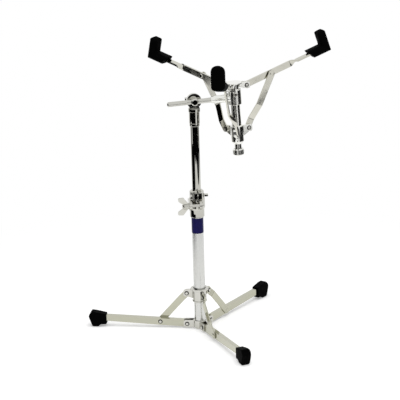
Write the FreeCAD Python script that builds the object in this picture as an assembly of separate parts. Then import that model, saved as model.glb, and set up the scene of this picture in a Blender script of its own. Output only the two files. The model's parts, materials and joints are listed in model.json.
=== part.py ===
import FreeCAD, Part
import math
import os

# Snare drum stand: a flat tripod base, a telescoping post, a tilter and a three-arm basket.
# Millimetres and degrees. Origin on the floor under the post, +Z up, +X along the tilter rod.

# Fits
RUN = 0.06                # radial clearance of a running fit
SIDE_GAP = 0.4            # side clearance between plates that turn on each other
SEAT_GAP = 0.3            # clearance between a loose piece and its seat
STEP = 0.5                # overlap of a root in its wall, and step between faces near one plane
PAST = 1.0                # how far a cut runs past the face that it opens
EDGE = 1.0                # usual bevel of an edge
BOLT_PAST = 1.5           # thread that shows past a nut

# Post
LOWER_TUBE_D = 25.4
LOWER_TUBE_WALL = 1.5
LOWER_TUBE_LENGTH = 286.0
UPPER_TUBE_D = 19.05
UPPER_TUBE_WALL = 1.2
UPPER_TUBE_OVERLAP = 110.0   # length of upper tube inside the lower tube
UPPER_TUBE_OUT = 206.0       # length of upper tube above the lower tube
LABEL_HEIGHT = 34.0
LABEL_THICK = 0.25
LABEL_BELOW_CLAMP = 2.0

# Leg hub at the foot of the post
HUB_FLOOR_GAP = 1.5
HUB_FLOOR_THICK = 2.5
HUB_HEIGHT = 18.5
HUB_D = 31.0
HUB_CHIN = 4.0               # height of the slanted lower rim
HUB_CHIN_IN = 2.0
EAR_CORNER = 2.0             # rounding where an ear leaves its slope
HUB_EAR_THICK = 2.5
HUB_EAR_END = 8.0            # end radius of an ear about its pivot
HUB_PIVOT_R = 28.5
HUB_PIVOT_Z = 11.0
LEG_TURN = 44.2              # azimuth of the rear leg
RIVET_SHANK_D = 6.0
RIVET_HEAD_D = 10.0
RIVET_HEAD_H = 1.8
RIVET_HEAD_BEVEL = 1.5

# Legs, feet and braces
LEG_RISE = 2.9               # slope of a leg, rising outwards
LEG_LENGTH = 208.0           # from its pivot to its tip
LEG_WIDTH = 10.0
LEG_WALL = 1.6
LEG_HEIGHT_IN = 15.5
LEG_HEIGHT_OUT = 13.0
LEG_EASE = 40.0              # easing of the bend in a leg's edges at the brace
LEG_FOLD = 80.0              # how far a leg swings up
BRACE_AT = 60.3              # brace pivot along the leg
BRACE_WIDTH = 15.0
BRACE_THICK = 2.5
BRACE_JOG_START = 8.5        # the sideways step, along the brace from the collar
BRACE_JOG_END = 15.5
JOG_EASE = 9.0               # bend radius of a strap's sideways step
FOOT_GRIP = 26.5             # length of leg inside its foot
FOOT_LENGTH = 40.0
FOOT_LIP_LENGTH = 13.0       # underside from the mouth to the slope down to the sole
FOOT_LIP_SLOPE = 6.0
FOOT_SOLE_LENGTH = 12.0
FOOT_LIP = 6.0               # height of the lip above the floor
FOOT_CREST_IN = 7.0          # how far the crest stands in from the end
FOOT_HEIGHT = 36.0
FOOT_BELLY_HEIGHT = 25.0     # height of the outermost line
FOOT_NECK_HEIGHT = 29.8
FOOT_WIDTH_IN = 17.0
FOOT_WIDTH_OUT = 20.5
FOOT_ROUND = 7.0             # rounding of the upright edges at the end
FOOT_CROWN = 5.0             # rounding along the top and the sole
FOOT_RIBS = 4
FOOT_RIB_PITCH = 6.0
FOOT_GROOVE_R = 0.9

# Sliding collar of the legs
COLLAR_PIVOT_R = 28.5
COLLAR_PIVOT_Z = 80.5
COLLAR_D = 30.0
COLLAR_BOTTOM = 63.0
COLLAR_TOP = 94.0
COLLAR_FLANGE_D = 40.0
COLLAR_FLANGE_THICK = 3.5
COLLAR_BEAD = 1.2
COLLAR_BEAD_HEIGHT = 3.0
COLLAR_EAR_THICK = 3.0
COLLAR_EAR_END = 7.5
COLLAR_EAR_STEP = 3.0        # plain collar between the bead and an ear's root
COLLAR_BUSH_WALL = 1.2
THUMBSCREW_TURN = 104.0      # azimuth, midway between two legs
THUMBSCREW_Z = 80.5
THUMBSCREW_D = 6.0
THUMBSCREW_BOSS_D = 14.0
THUMBSCREW_BOSS_R = 24.0
THUMBSCREW_STAND = 1.0       # gap between the boss and the wings
THUMB_WING_LEAN = 20.0

# Wings of thumbscrew and wing nuts
WING_HUB_D = 13.0
WING_HUB_LENGTH = 12.0
WING_HUB_BEVEL = 2.0
WING_ROOT = 2.0              # how far a wing runs into its hub
WING_CHORD = 8.0             # width of a wing at its tip
WING_ROUND = 3.0
WING_SPAN = 21.0             # from the axis to a wing's tip
WING_THICK = 3.6
WING_FLARE = 11.0            # how far the tips stand out past the hub

# Height clamp and memory lock
CLAMP_HEIGHT = 42.0
CLAMP_OVER_TUBE = 10.0       # clamp height above the end of the lower tube
CLAMP_D = 35.0
CLAMP_SKIRT_D = 31.5
CLAMP_SKIRT_HEIGHT = 17.0
CLAMP_SHOULDER = 5.0         # height of the slope from the skirt to the body
CLAMP_SLIT = 3.0
CLAMP_SLIT_X = -6.0
CLAMP_LUG_REACH = 31.5
CLAMP_LUG_THICK = 6.0
CLAMP_LUG_HEIGHT = 21.0
CLAMP_MOUTH = 16.0           # clear width between the lugs
CLAMP_BOLT_D = 7.0
CLAMP_BOLT_REACH = 24.0
CLAMP_BOLT_HEAD_D = 12.6
CLAMP_BOLT_HEAD_H = 4.0
CLAMP_BOLT_HEAD_BEVEL = 2.5
CLAMP_WING_LEAN = -12.0
WASHER_THICK = 1.6
BUSH_FLANGE = 3.0
BUSH_LENGTH = 42.0
LOCK_HEIGHT = 17.5
LOCK_D = 31.0
LOCK_CROWN = 3.0             # bevel of the ring's upper rim
LOCK_LUG_REACH = 20.5
LOCK_LUG_ROOT = 6.0
LOCK_LUG_WIDTH = 24.0
LOCK_LUG_CORNER = 4.0
LOCK_LUG_STEP = 1.8          # the lug is lower than the ring by this at both ends
LOCK_SLIT = 2.4
LOCK_BOLT_D = 5.0
LOCK_BOLT_REACH = 14.6
LOCK_FLANGE = 2.0
LOCK_KEY_SIZE = 5.6
LOCK_KEY_LENGTH = 8.0

# Tilter
EYE_OVER_TUBE = 19.0         # height of the eye above the end of the upper tube
HEAD_SLEEVE_D = 23.0
HEAD_SLEEVE_HEIGHT = 29.0
HEAD_BEAD = 1.2              # how far the bead stands out of the sleeve
HEAD_BEAD_LOW = 4.5          # the bead runs from below the tube's end to above it
HEAD_BEAD_HIGH = 2.5
HEAD_SHOULDER = 4.0          # top of the cone, below the eye
HEAD_RING_HEIGHT = 7.0
HEAD_RING_D = 22.0
HEAD_DISC_D = 32.0
HEAD_DISC_THICK = 9.0
HEAD_DISC_RIM = 2.6
HEAD_DISC_DISH = 1.4
EYE_BOLT_D = 8.0
EYE_HEAD_D = 16.0
EYE_HEAD_WALL = 3.0          # metal in front of the rod
EYE_HEAD_CROWN = 2.5
TILTER_WING_LEAN = 90.0
TILTER_WING_SPAN = 17.0
ROD_D = 10.5
ROD_TAIL = 59.0              # rod length left of the eye
ROD_END_BEVEL = 2.4
ROD_TILT = 2.7               # the rod's rise at rest
ROD_IN_SOCKET = 30.0

# Basket centre, in the rod's frame: x along the rod, h along the basket's axis
BASKET_REACH = 86.4
BASKET_TURN = 12.9           # azimuth of the right arm
BLOCK_D = 29.0
BLOCK_TOP = 18.5
BLOCK_BOTTOM = -14.5
SOCKET_D = 17.0
SOCKET_FLANGE_D = 21.0
SOCKET_FLANGE = 5.0
SOCKET_LENGTH = 37.0
SOCKET_TAPER = 9.0
SOCKET_MOUTH_WALL = 1.2
BLOCK_SCREW_D = 6.0
BLOCK_SCREW_HEAD_D = 9.0
BLOCK_SCREW_HEAD_H = 3.0
BLOCK_SCREW_CROWN = 1.8
BLOCK_SCREW_SLOT = 1.2
BLOCK_SCREW_H = 9.0
CENTRE_TUBE_D = 20.6
CENTRE_TUBE_WALL = 1.6
TOP_HUB_D = 35.0
TOP_HUB_TOP = 33.5
TOP_HUB_THICK = 3.0
TOP_HUB_CLEAR = 2.5          # between the forks and the block
ARM_PIVOT_R = 27.5
ARM_PIVOT_H = 23.8
ARM_EAR_THICK = 2.5
ARM_EAR_END = 7.2

# Arms, sleeves and struts
ARM_RISE = 15.9
ARM_THICK = 4.5
ARM_DEPTH = 13.0
ARM_TWIST_START = 108.0
ARM_TWIST_END = 126.0
ARM_TWIST_STEPS = 6
ARM_BEND = 5.0               # inner radius of the bend inside the sleeve
ARM_TIP_COVER = 12.0         # rubber above the arm's tip
ARM_STRUT_AT = 60.8
ARM_CLOSE = 48.6             # how far an arm swings up
STRUT_WIDTH = 14.0
STRUT_THICK = 3.0
STRUT_JOG_START = 20.0       # the sideways step, along the strut from the lower hub
STRUT_JOG_END = 54.0
LOWER_PIVOT_R = 27.0
LOWER_PIVOT_H = -70.5
SLEEVE_START = 152.0         # upper lip, along the arm
SLEEVE_LIP_BACK = 12.0       # how far the lower lip stands back
SLEEVE_HEEL = 206.0
SLEEVE_THICK = 20.0
SLEEVE_HEIGHT = 51.0
SLEEVE_WIDTH = 29.5
SLEEVE_CROWN = 9.0           # rounding of the top from front to back

# Lower hub and adjusting knob
LOWER_HUB_D = 28.0
LOWER_HUB_TOP = -61.5
LOWER_HUB_BOTTOM = -101.0
LOWER_HUB_FLOOR = 3.7        # thickness of its floor, which holds the knob
LOWER_HUB_CHIN = 6.0         # height of the cone under the hub
LOWER_HUB_CHIN_IN = 4.0
LOWER_LUG_THICK = 6.0
LOWER_LUG_END = 7.5
LOWER_LUG_ROOT = 26.0        # length of a lug's root along the hub
NECK_D = 15.0
NECK_LENGTH = 11.0
KNOB_D = 24.0
KNOB_HEIGHT = 14.0
KNOB_BEVEL = 2.0
KNOB_RIM = 3.0               # plain rim at each end of the flutes
KNOB_FLUTES = 18
KNOB_FLUTE_D = 2.0
KNOB_FLUTE_OUT = 0.4         # a flute's centre stands outside the knob by this
SCREW_D = 10.0
SCREW_LENGTH = 46.0
PLUG_LENGTH = 12.0           # threaded plug in the end of the centre tube

LEG_NAMES = ("rear", "left", "front")
ARM_NAMES = ("right", "left", "front")
THIRD = 120.0

# Places worked out from the sizes above
TUBE_BOTTOM = HUB_FLOOR_GAP + HUB_FLOOR_THICK
TUBE_TOP = TUBE_BOTTOM + LOWER_TUBE_LENGTH
CLAMP_TOP = TUBE_TOP + CLAMP_OVER_TUBE
CLAMP_BOTTOM = CLAMP_TOP - CLAMP_HEIGHT
CLAMP_BOLT_Z = CLAMP_TOP - CLAMP_LUG_HEIGHT / 2
LABEL_TOP = CLAMP_BOTTOM - LABEL_BELOW_CLAMP
LOCK_BOTTOM = CLAMP_TOP + SEAT_GAP
UPPER_TUBE_BOTTOM = TUBE_TOP - UPPER_TUBE_OVERLAP
UPPER_TUBE_TOP = TUBE_TOP + UPPER_TUBE_OUT
EYE_Z = UPPER_TUBE_TOP + EYE_OVER_TUBE
HEAD_BOTTOM = UPPER_TUBE_TOP - HEAD_SLEEVE_HEIGHT
ROD_Y = -(HEAD_DISC_THICK / 2 + SEAT_GAP + ROD_D / 2)
EYE_FRONT = ROD_Y - ROD_D / 2 - EYE_HEAD_WALL
LEG_SIDE = LEG_WIDTH / 2
LEG_TIP_R = HUB_PIVOT_R + LEG_LENGTH * math.cos(math.radians(LEG_RISE))
FOOT_START_R = LEG_TIP_R - FOOT_GRIP
FOOT_END_R = FOOT_START_R + FOOT_LENGTH
FOOT_SOLE_R = FOOT_START_R + FOOT_LIP_LENGTH + FOOT_LIP_SLOPE
BRACE_TOP_OFFSET = -(COLLAR_EAR_THICK / 2 + SIDE_GAP + BRACE_THICK / 2)
BRACE_LOW_OFFSET = -(LEG_SIDE + SIDE_GAP + BRACE_THICK / 2)
ARM_EAR_OUT = ARM_THICK / 2 + SIDE_GAP + ARM_EAR_THICK
STRUT_TOP_OFFSET = -(ARM_EAR_OUT + SIDE_GAP + STRUT_THICK / 2)
STRUT_LOW_OFFSET = LOWER_LUG_THICK / 2 + SIDE_GAP + STRUT_THICK / 2


def leg_point(along, angle=LEG_RISE):
    """A point of the leg's centre line in its own radial plane, with the leg at the given slope."""
    slope = math.radians(angle)
    return (HUB_PIVOT_R + along * math.cos(slope), HUB_PIVOT_Z + along * math.sin(slope))


def arm_point(along, angle=ARM_RISE):
    """A point of the arm's centre line in its own radial plane of the basket."""
    slope = math.radians(angle)
    return (ARM_PIVOT_R + along * math.cos(slope), ARM_PIVOT_H + along * math.sin(slope))


def slope_of(start, end):
    """Slope in degrees of the line between two points of a radial plane."""
    return math.degrees(math.atan2(end[1] - start[1], end[0] - start[0]))


def link_heights():
    """Travel of the collar and of the lower hub, and the turn of brace and strut over it."""
    low = leg_point(BRACE_AT)
    up = leg_point(BRACE_AT, LEG_RISE + LEG_FOLD)
    brace = math.dist((COLLAR_PIVOT_R, COLLAR_PIVOT_Z), low)
    collar_z = up[1] + math.sqrt(brace ** 2 - (up[0] - COLLAR_PIVOT_R) ** 2)
    brace_turn = slope_of((COLLAR_PIVOT_R, collar_z), up) - slope_of((COLLAR_PIVOT_R, COLLAR_PIVOT_Z), low)
    wide = arm_point(ARM_STRUT_AT)
    shut = arm_point(ARM_STRUT_AT, ARM_RISE + ARM_CLOSE)
    strut = math.dist((LOWER_PIVOT_R, LOWER_PIVOT_H), wide)
    hub_h = shut[1] - math.sqrt(strut ** 2 - (shut[0] - LOWER_PIVOT_R) ** 2)
    strut_turn = slope_of((LOWER_PIVOT_R, hub_h), shut) - slope_of((LOWER_PIVOT_R, LOWER_PIVOT_H), wide)
    return {"collar_travel": collar_z - COLLAR_PIVOT_Z, "brace_turn": brace_turn, "brace_length": brace,
            "hub_travel": hub_h - LOWER_PIVOT_H, "strut_turn": strut_turn, "strut_length": strut}


# Shape helpers
ORIGIN = FreeCAD.Vector(0, 0, 0)
X_AXIS = FreeCAD.Vector(1, 0, 0)
Y_AXIS = FreeCAD.Vector(0, 1, 0)
Z_AXIS = FreeCAD.Vector(0, 0, 1)


def vec(x, y, z):
    return FreeCAD.Vector(x, y, z)


def rounded_wire(points, to_space, bevel=False):
    """Closed wire through (u, v, radius) corners, each an arc or a bevel that its edges have room for."""
    count = len(points)
    corners = []
    for index in range(count):
        before, here, after = points[index - 1], points[index], points[(index + 1) % count]
        radius = here[2] if len(here) > 2 else 0.0
        back = FreeCAD.Vector(before[0] - here[0], before[1] - here[1], 0).normalize()
        ahead = FreeCAD.Vector(after[0] - here[0], after[1] - here[1], 0).normalize()
        spot = FreeCAD.Vector(here[0], here[1], 0)
        half = back.getAngle(ahead) / 2
        if radius <= 0 or half > math.pi / 2 - 1e-6:
            corners.append((spot, None, spot))
            continue
        room = min(math.dist(before[:2], here[:2]), math.dist(here[:2], after[:2])) / 2
        setback = min(radius / math.tan(half), room)
        radius = setback * math.tan(half)
        bisector = (back + ahead).normalize()
        middle = spot + bisector * (radius / math.sin(half) - radius)
        corners.append((spot + back * setback, middle, spot + ahead * setback))
    edges = []
    for index in range(count):
        start, middle, end = corners[index]
        if middle is not None and bevel:
            edges.append(Part.LineSegment(to_space(start), to_space(end)).toShape())
        elif middle is not None:
            edges.append(Part.Arc(to_space(start), to_space(middle), to_space(end)).toShape())
        next_start = corners[(index + 1) % count][0]
        if (next_start - end).Length > 1e-6:
            edges.append(Part.LineSegment(to_space(end), to_space(next_start)).toShape())
    return Part.Wire(Part.__sortEdges__(edges))


def side_plate(points, y0, y1):
    """Outline of (x, z, radius) corners, extruded across from y0 to y1."""
    wire = rounded_wire(points, lambda p: vec(p.x, y0, p.y))
    return Part.Face(wire).extrude(vec(0, y1 - y0, 0))


def plan_plate(points, z0, z1):
    """Outline of (x, y, radius) corners, extruded up from z0 to z1."""
    wire = rounded_wire(points, lambda p: vec(p.x, p.y, z0))
    return Part.Face(wire).extrude(vec(0, 0, z1 - z0))


def end_plate(points, x0, x1):
    """Outline of (y, z, radius) corners, extruded along from x0 to x1."""
    wire = rounded_wire(points, lambda p: vec(x0, p.x, p.y))
    return Part.Face(wire).extrude(vec(x1 - x0, 0, 0))


def turned(profile, axis=Z_AXIS):
    """Solid of revolution from (radius, height, bevel) points, about the Z or the X axis."""
    def to_space(p):
        return vec(p.x, 0, p.y) if axis == Z_AXIS else vec(p.y, p.x, 0)
    return Part.Face(rounded_wire(profile, to_space, True)).revolve(ORIGIN, axis, 360)


def rod_along(axis, radius, start, end, x=0.0, y=0.0, z=0.0):
    """Round bar along one axis between two places on it."""
    base = vec(x, y, z) + axis * start
    return Part.makeCylinder(radius, end - start, base, axis)


def fused(shapes):
    """One solid from several, with the seams between coplanar faces taken out."""
    return shapes[0].fuse(shapes[1:]).removeSplitter()


def turn(shape, angle, axis=Z_AXIS, centre=ORIGIN):
    """Copy of a shape, turned about an axis."""
    copy = shape.copy()
    copy.rotate(centre, axis, angle)
    return copy


def slope_plane(shape, pivot, angle):
    """Copy of a shape drawn along +X from the origin, laid at a slope from a pivot of the radial plane."""
    copy = turn(shape, -angle, Y_AXIS)
    copy.translate(vec(pivot[0], 0, pivot[1]))
    return copy


def rod_frame(shape):
    """Copy of a shape drawn on the rod's axis, moved to the eye of the tilter at the rest tilt."""
    copy = turn(shape, -ROD_TILT, Y_AXIS)
    copy.translate(vec(0, ROD_Y, EYE_Z))
    return copy


def basket_frame(shape):
    """Copy of a shape drawn round the basket's axis, moved out along the rod."""
    copy = shape.copy()
    copy.translate(vec(BASKET_REACH, 0, 0))
    return rod_frame(copy)


def rivet(length, shank_d=RIVET_SHANK_D, heads=(True, True)):
    """Rivet along +Y from y = 0 to its length, with a domed head outside each end that has one."""
    parts = [Part.makeCylinder(shank_d / 2, length, ORIGIN, Y_AXIS)]
    if heads[0]:
        parts.append(rivet_head(-1))
    if heads[1]:
        top = rivet_head(1)
        top.translate(vec(0, length, 0))
        parts.append(top)
    return fused(parts)


def rivet_head(way):
    """Bevelled head of a rivet, standing out from y = 0 along +Y or -Y."""
    half = RIVET_HEAD_D / 2
    profile = [(0, 0), (half, 0), (half - RIVET_HEAD_BEVEL, RIVET_HEAD_H), (0, RIVET_HEAD_H)]
    return turn(turned(profile), -90 * way, X_AXIS)


def stadium(start, end, width):
    """Outline of a bar with round ends, drawn along +X about both end centres."""
    half = width / 2
    return [(start - half, -half, half), (end + half, -half, half),
            (end + half, half, half), (start - half, half, half)]


def jogged_strap(length, width, thick, low_offset, high_offset, jog_start, jog_end):
    """Round-ended strap along +X that steps sideways from one offset to the other."""
    reach = max(abs(low_offset), abs(high_offset)) + thick
    outline = side_plate(stadium(0, length, width), -reach, reach)
    half = thick / 2
    edge = [(-width, low_offset - half), (jog_start, low_offset - half, JOG_EASE),
            (jog_end, high_offset - half, JOG_EASE), (length + width, high_offset - half),
            (length + width, high_offset + half), (jog_end, high_offset + half, JOG_EASE),
            (jog_start, low_offset + half, JOG_EASE), (-width, low_offset + half)]
    return outline.common(plan_plate(edge, -width, width))


def wing_head(lean, span=WING_SPAN):
    """Hub and two flared wings of a wing nut, along +X from x = 0, turned by the lean about it."""
    hub = turned([(0, 0), (WING_HUB_D / 2, 0), (WING_HUB_D / 2, WING_HUB_LENGTH, WING_HUB_BEVEL),
                  (0, WING_HUB_LENGTH)], X_AXIS)
    root = WING_HUB_D / 2 - WING_ROOT
    near, far = EDGE, WING_HUB_LENGTH - EDGE
    tip = WING_HUB_LENGTH + WING_FLARE
    outline = [(near, root), (near, WING_HUB_D / 2), (far, span, WING_ROUND), (tip, span - EDGE, WING_ROUND),
               (tip - EDGE, span - WING_CHORD, WING_ROUND), (far, root)]
    wing = side_plate(outline, -WING_THICK / 2, WING_THICK / 2)
    return turn(fused([hub, wing, turn(wing, 180, X_AXIS)]), lean, X_AXIS)


# Base
def make_lower_tube():
    outer = LOWER_TUBE_D / 2
    return turned([(outer - LOWER_TUBE_WALL, TUBE_BOTTOM), (outer, TUBE_BOTTOM),
                   (outer, TUBE_TOP), (outer - LOWER_TUBE_WALL, TUBE_TOP)])


def make_label():
    inner = LOWER_TUBE_D / 2
    outer = inner + LABEL_THICK
    return turned([(inner, LABEL_TOP - LABEL_HEIGHT), (outer, LABEL_TOP - LABEL_HEIGHT),
                   (outer, LABEL_TOP), (inner, LABEL_TOP)])


def ear(root_r, pivot_r, pivot_z, root_low, root_high, end_radius, y0, y1):
    """Plate from the hub's wall out to a round end about a pivot."""
    tip = pivot_r + end_radius
    low, high = pivot_z - end_radius, pivot_z + end_radius
    outline = [(root_r, root_low), (pivot_r, low, EAR_CORNER), (tip, low, end_radius),
               (tip, high, end_radius), (pivot_r, high, EAR_CORNER), (root_r, root_high)]
    return side_plate(outline, y0, y1)


def make_leg_hub():
    """Cup for the end of the post with three forks for the legs."""
    outer = HUB_D / 2
    seat = LOWER_TUBE_D / 2
    top = HUB_FLOOR_GAP + HUB_HEIGHT
    body = turned([(0, HUB_FLOOR_GAP), (outer - HUB_CHIN_IN, HUB_FLOOR_GAP),
                   (outer, HUB_FLOOR_GAP + HUB_CHIN), (outer, top, EDGE), (seat, top), (seat, TUBE_BOTTOM),
                   (0, TUBE_BOTTOM)])
    inner = LEG_SIDE + SIDE_GAP
    outer_y = inner + HUB_EAR_THICK
    parts = [body]
    for index in range(3):
        for y0, y1 in ((inner, outer_y), (-outer_y, -inner)):
            plate = ear(seat + STEP, HUB_PIVOT_R, HUB_PIVOT_Z, HUB_PIVOT_Z - HUB_EAR_END, top - STEP,
                        HUB_EAR_END, y0, y1)
            parts.append(turn(plate, LEG_TURN + THIRD * index))
    hub = fused(parts)
    bore = rod_along(Z_AXIS, seat, TUBE_BOTTOM, top + PAST)
    hub = hub.cut(bore)
    for index in range(3):
        hole = rod_along(Y_AXIS, RIVET_SHANK_D / 2, -outer_y - PAST, outer_y + PAST, HUB_PIVOT_R, 0,
                         HUB_PIVOT_Z)
        hub = hub.cut(turn(hole, LEG_TURN + THIRD * index))
    return hub


def three_rivets(pivot_r, pivot_z, y0, y1, first_turn):
    """Three rivets across the radial planes at 120 degrees, as one group."""
    one = rivet(y1 - y0)
    one.translate(vec(pivot_r, y0, pivot_z))
    return Part.Compound([turn(one, first_turn + THIRD * index) for index in range(3)])


def make_hub_rivets():
    reach = LEG_SIDE + SIDE_GAP + HUB_EAR_THICK
    return three_rivets(HUB_PIVOT_R, HUB_PIVOT_Z, -reach, reach, LEG_TURN)


def leg_outline():
    """Side outline of the tapered leg channel, drawn along +X from its pivot."""
    half_in = LEG_HEIGHT_IN / 2
    half_out = LEG_HEIGHT_OUT / 2
    return [(-half_in, -half_in, half_in), (BRACE_AT, -half_in, LEG_EASE), (LEG_LENGTH, -half_out, EDGE),
            (LEG_LENGTH, half_out, EDGE), (BRACE_AT, half_in, LEG_EASE), (-half_in, half_in, half_in)]


def leg_block():
    """Outer form of a leg, before the channel is hollowed out."""
    return side_plate(leg_outline(), -LEG_SIDE, LEG_SIDE)


def make_leg():
    """Folded channel, open underneath, with its pivot hole and its brace rivet hole."""
    inside = LEG_SIDE - LEG_WALL
    hollow = side_plate(leg_outline(), -inside, inside)
    hollow.translate(vec(0, 0, -LEG_WALL))
    leg = leg_block().cut(hollow)
    nose_cut = Part.makeBox(LEG_HEIGHT_IN, 2 * inside, LEG_HEIGHT_IN * 2,
                            vec(-LEG_HEIGHT_IN / 2, -inside, -LEG_HEIGHT_IN))
    pivot = rod_along(Y_AXIS, RIVET_SHANK_D / 2 + RUN, -LEG_WIDTH, LEG_WIDTH)
    stud = rod_along(Y_AXIS, RIVET_SHANK_D / 2, -LEG_WIDTH, LEG_WIDTH, BRACE_AT)
    leg = leg.cut(nose_cut).cut(pivot).cut(stud)
    return slope_plane(leg, (HUB_PIVOT_R, HUB_PIVOT_Z), LEG_RISE)


def make_leg_rivet():
    """Rivet in the leg for the brace: its brace side ends flush, because the linkage is opened there."""
    one = rivet(LEG_WIDTH, heads=(False, True))
    one.translate(vec(BRACE_AT, -LEG_SIDE, 0))
    return slope_plane(one, (HUB_PIVOT_R, HUB_PIVOT_Z), LEG_RISE)


def make_foot():
    """Rubber boot over the leg's tip, with a raised lip, a short sole and a crest that leans back."""
    lip_end = FOOT_START_R + FOOT_LIP_LENGTH
    sole_end = FOOT_SOLE_R + FOOT_SOLE_LENGTH
    crest_r = FOOT_END_R - FOOT_CREST_IN
    half_in, half_out = FOOT_WIDTH_IN / 2, FOOT_WIDTH_OUT / 2
    side = side_plate([(FOOT_START_R, FOOT_LIP, EDGE), (lip_end, FOOT_LIP, FOOT_LIP_SLOPE),
                       (FOOT_SOLE_R, 0, FOOT_LIP_SLOPE), (sole_end, 0, EDGE),
                       (FOOT_END_R, FOOT_BELLY_HEIGHT, FOOT_CREST_IN), (crest_r, FOOT_HEIGHT, EDGE),
                       (FOOT_START_R, FOOT_NECK_HEIGHT, EDGE)], -half_out, half_out)
    start, end = FOOT_START_R - PAST, FOOT_END_R + PAST
    plan = plan_plate([(start, -half_in), (crest_r, -half_out, FOOT_ROUND), (end, -half_out, FOOT_ROUND),
                       (end, half_out, FOOT_ROUND), (crest_r, half_out, FOOT_ROUND), (start, half_in)],
                      -PAST, FOOT_HEIGHT + PAST)
    shell = end_plate([(-half_out, 0, FOOT_CROWN), (half_out, 0, FOOT_CROWN),
                       (half_out, FOOT_HEIGHT, FOOT_CROWN), (-half_out, FOOT_HEIGHT, FOOT_CROWN)], start, end)
    foot = side.common(plan).common(shell)
    spread = (half_out - half_in) / (crest_r - FOOT_START_R)
    for index in range(FOOT_RIBS):
        place = FOOT_RIB_PITCH * (index + 1)
        flank = half_in + spread * place
        for way in (-1, 1):
            groove = rod_along(Z_AXIS, FOOT_GROOVE_R, 2 * FOOT_LIP, FOOT_HEIGHT, FOOT_START_R + place,
                               way * flank)
            foot = foot.cut(groove)
    return foot.cut(slope_plane(leg_block(), (HUB_PIVOT_R, HUB_PIVOT_Z), LEG_RISE))


def make_brace():
    """Strap from the collar's ear to the side of the leg, with the brace half of its leg rivet."""
    links = link_heights()
    start = (COLLAR_PIVOT_R, COLLAR_PIVOT_Z)
    strap = jogged_strap(links["brace_length"], BRACE_WIDTH, BRACE_THICK, BRACE_TOP_OFFSET, BRACE_LOW_OFFSET,
                         BRACE_JOG_START, BRACE_JOG_END)
    hole = rod_along(Y_AXIS, RIVET_SHANK_D / 2 + RUN, -LEG_WIDTH * 2, LEG_WIDTH * 2)
    head = rivet_head(-1)
    head.translate(vec(links["brace_length"], BRACE_LOW_OFFSET - BRACE_THICK / 2, 0))
    strap = fused([strap.cut(hole), head])
    return slope_plane(strap, start, slope_of(start, leg_point(BRACE_AT)))


def make_collar():
    """Sliding sleeve with a flange, three brace ears and a boss for the thumbscrew."""
    inner = LOWER_TUBE_D / 2 + RUN + COLLAR_BUSH_WALL
    outer = COLLAR_D / 2
    bead = outer + COLLAR_BEAD
    bead_top = COLLAR_BOTTOM + COLLAR_BEAD_HEIGHT
    flange = COLLAR_FLANGE_D / 2
    under_flange = COLLAR_TOP - COLLAR_FLANGE_THICK
    body = turned([(inner, COLLAR_BOTTOM), (bead, COLLAR_BOTTOM, EDGE), (bead, bead_top, EDGE),
                   (outer, bead_top), (outer, under_flange), (flange, under_flange),
                   (flange, COLLAR_TOP, EDGE), (inner, COLLAR_TOP)])
    half = COLLAR_EAR_THICK / 2
    parts = [body]
    for index in range(3):
        plate = ear(inner + STEP, COLLAR_PIVOT_R, COLLAR_PIVOT_Z, bead_top + COLLAR_EAR_STEP, under_flange,
                    COLLAR_EAR_END, -half, half)
        parts.append(turn(plate, LEG_TURN + THIRD * index))
    boss = rod_along(X_AXIS, THUMBSCREW_BOSS_D / 2, inner + STEP, THUMBSCREW_BOSS_R, 0, 0, THUMBSCREW_Z)
    parts.append(turn(boss, THUMBSCREW_TURN))
    collar = fused(parts).cut(rod_along(Z_AXIS, inner, COLLAR_BOTTOM - PAST, COLLAR_TOP + PAST))
    for index in range(3):
        hole = rod_along(Y_AXIS, RIVET_SHANK_D / 2, -COLLAR_D, COLLAR_D, COLLAR_PIVOT_R, 0, COLLAR_PIVOT_Z)
        collar = collar.cut(turn(hole, LEG_TURN + THIRD * index))
    return collar.cut(thumbscrew_hole())


def thumbscrew_hole():
    hole = rod_along(X_AXIS, THUMBSCREW_D / 2 + RUN, 0, THUMBSCREW_BOSS_R + PAST, 0, 0, THUMBSCREW_Z)
    return turn(hole, THUMBSCREW_TURN)


def make_collar_bush():
    """Nylon liner between collar and post, pierced for the thumbscrew."""
    inner = LOWER_TUBE_D / 2 + RUN
    bush = turned([(inner, COLLAR_BOTTOM), (inner + COLLAR_BUSH_WALL, COLLAR_BOTTOM),
                   (inner + COLLAR_BUSH_WALL, COLLAR_TOP), (inner, COLLAR_TOP)])
    return bush.cut(thumbscrew_hole())


def make_collar_rivets():
    start = BRACE_TOP_OFFSET - BRACE_THICK / 2 - SIDE_GAP
    return three_rivets(COLLAR_PIVOT_R, COLLAR_PIVOT_Z, start, COLLAR_EAR_THICK / 2, LEG_TURN)


def make_thumbscrew():
    tip = LOWER_TUBE_D / 2 + SEAT_GAP
    start = THUMBSCREW_BOSS_R + THUMBSCREW_STAND
    shank = rod_along(X_AXIS, THUMBSCREW_D / 2, tip, start + STEP)
    wings = wing_head(90 - THUMB_WING_LEAN)
    wings.translate(vec(start, 0, 0))
    screw = fused([shank, wings])
    screw.translate(vec(0, 0, THUMBSCREW_Z))
    return turn(screw, THUMBSCREW_TURN)


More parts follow.
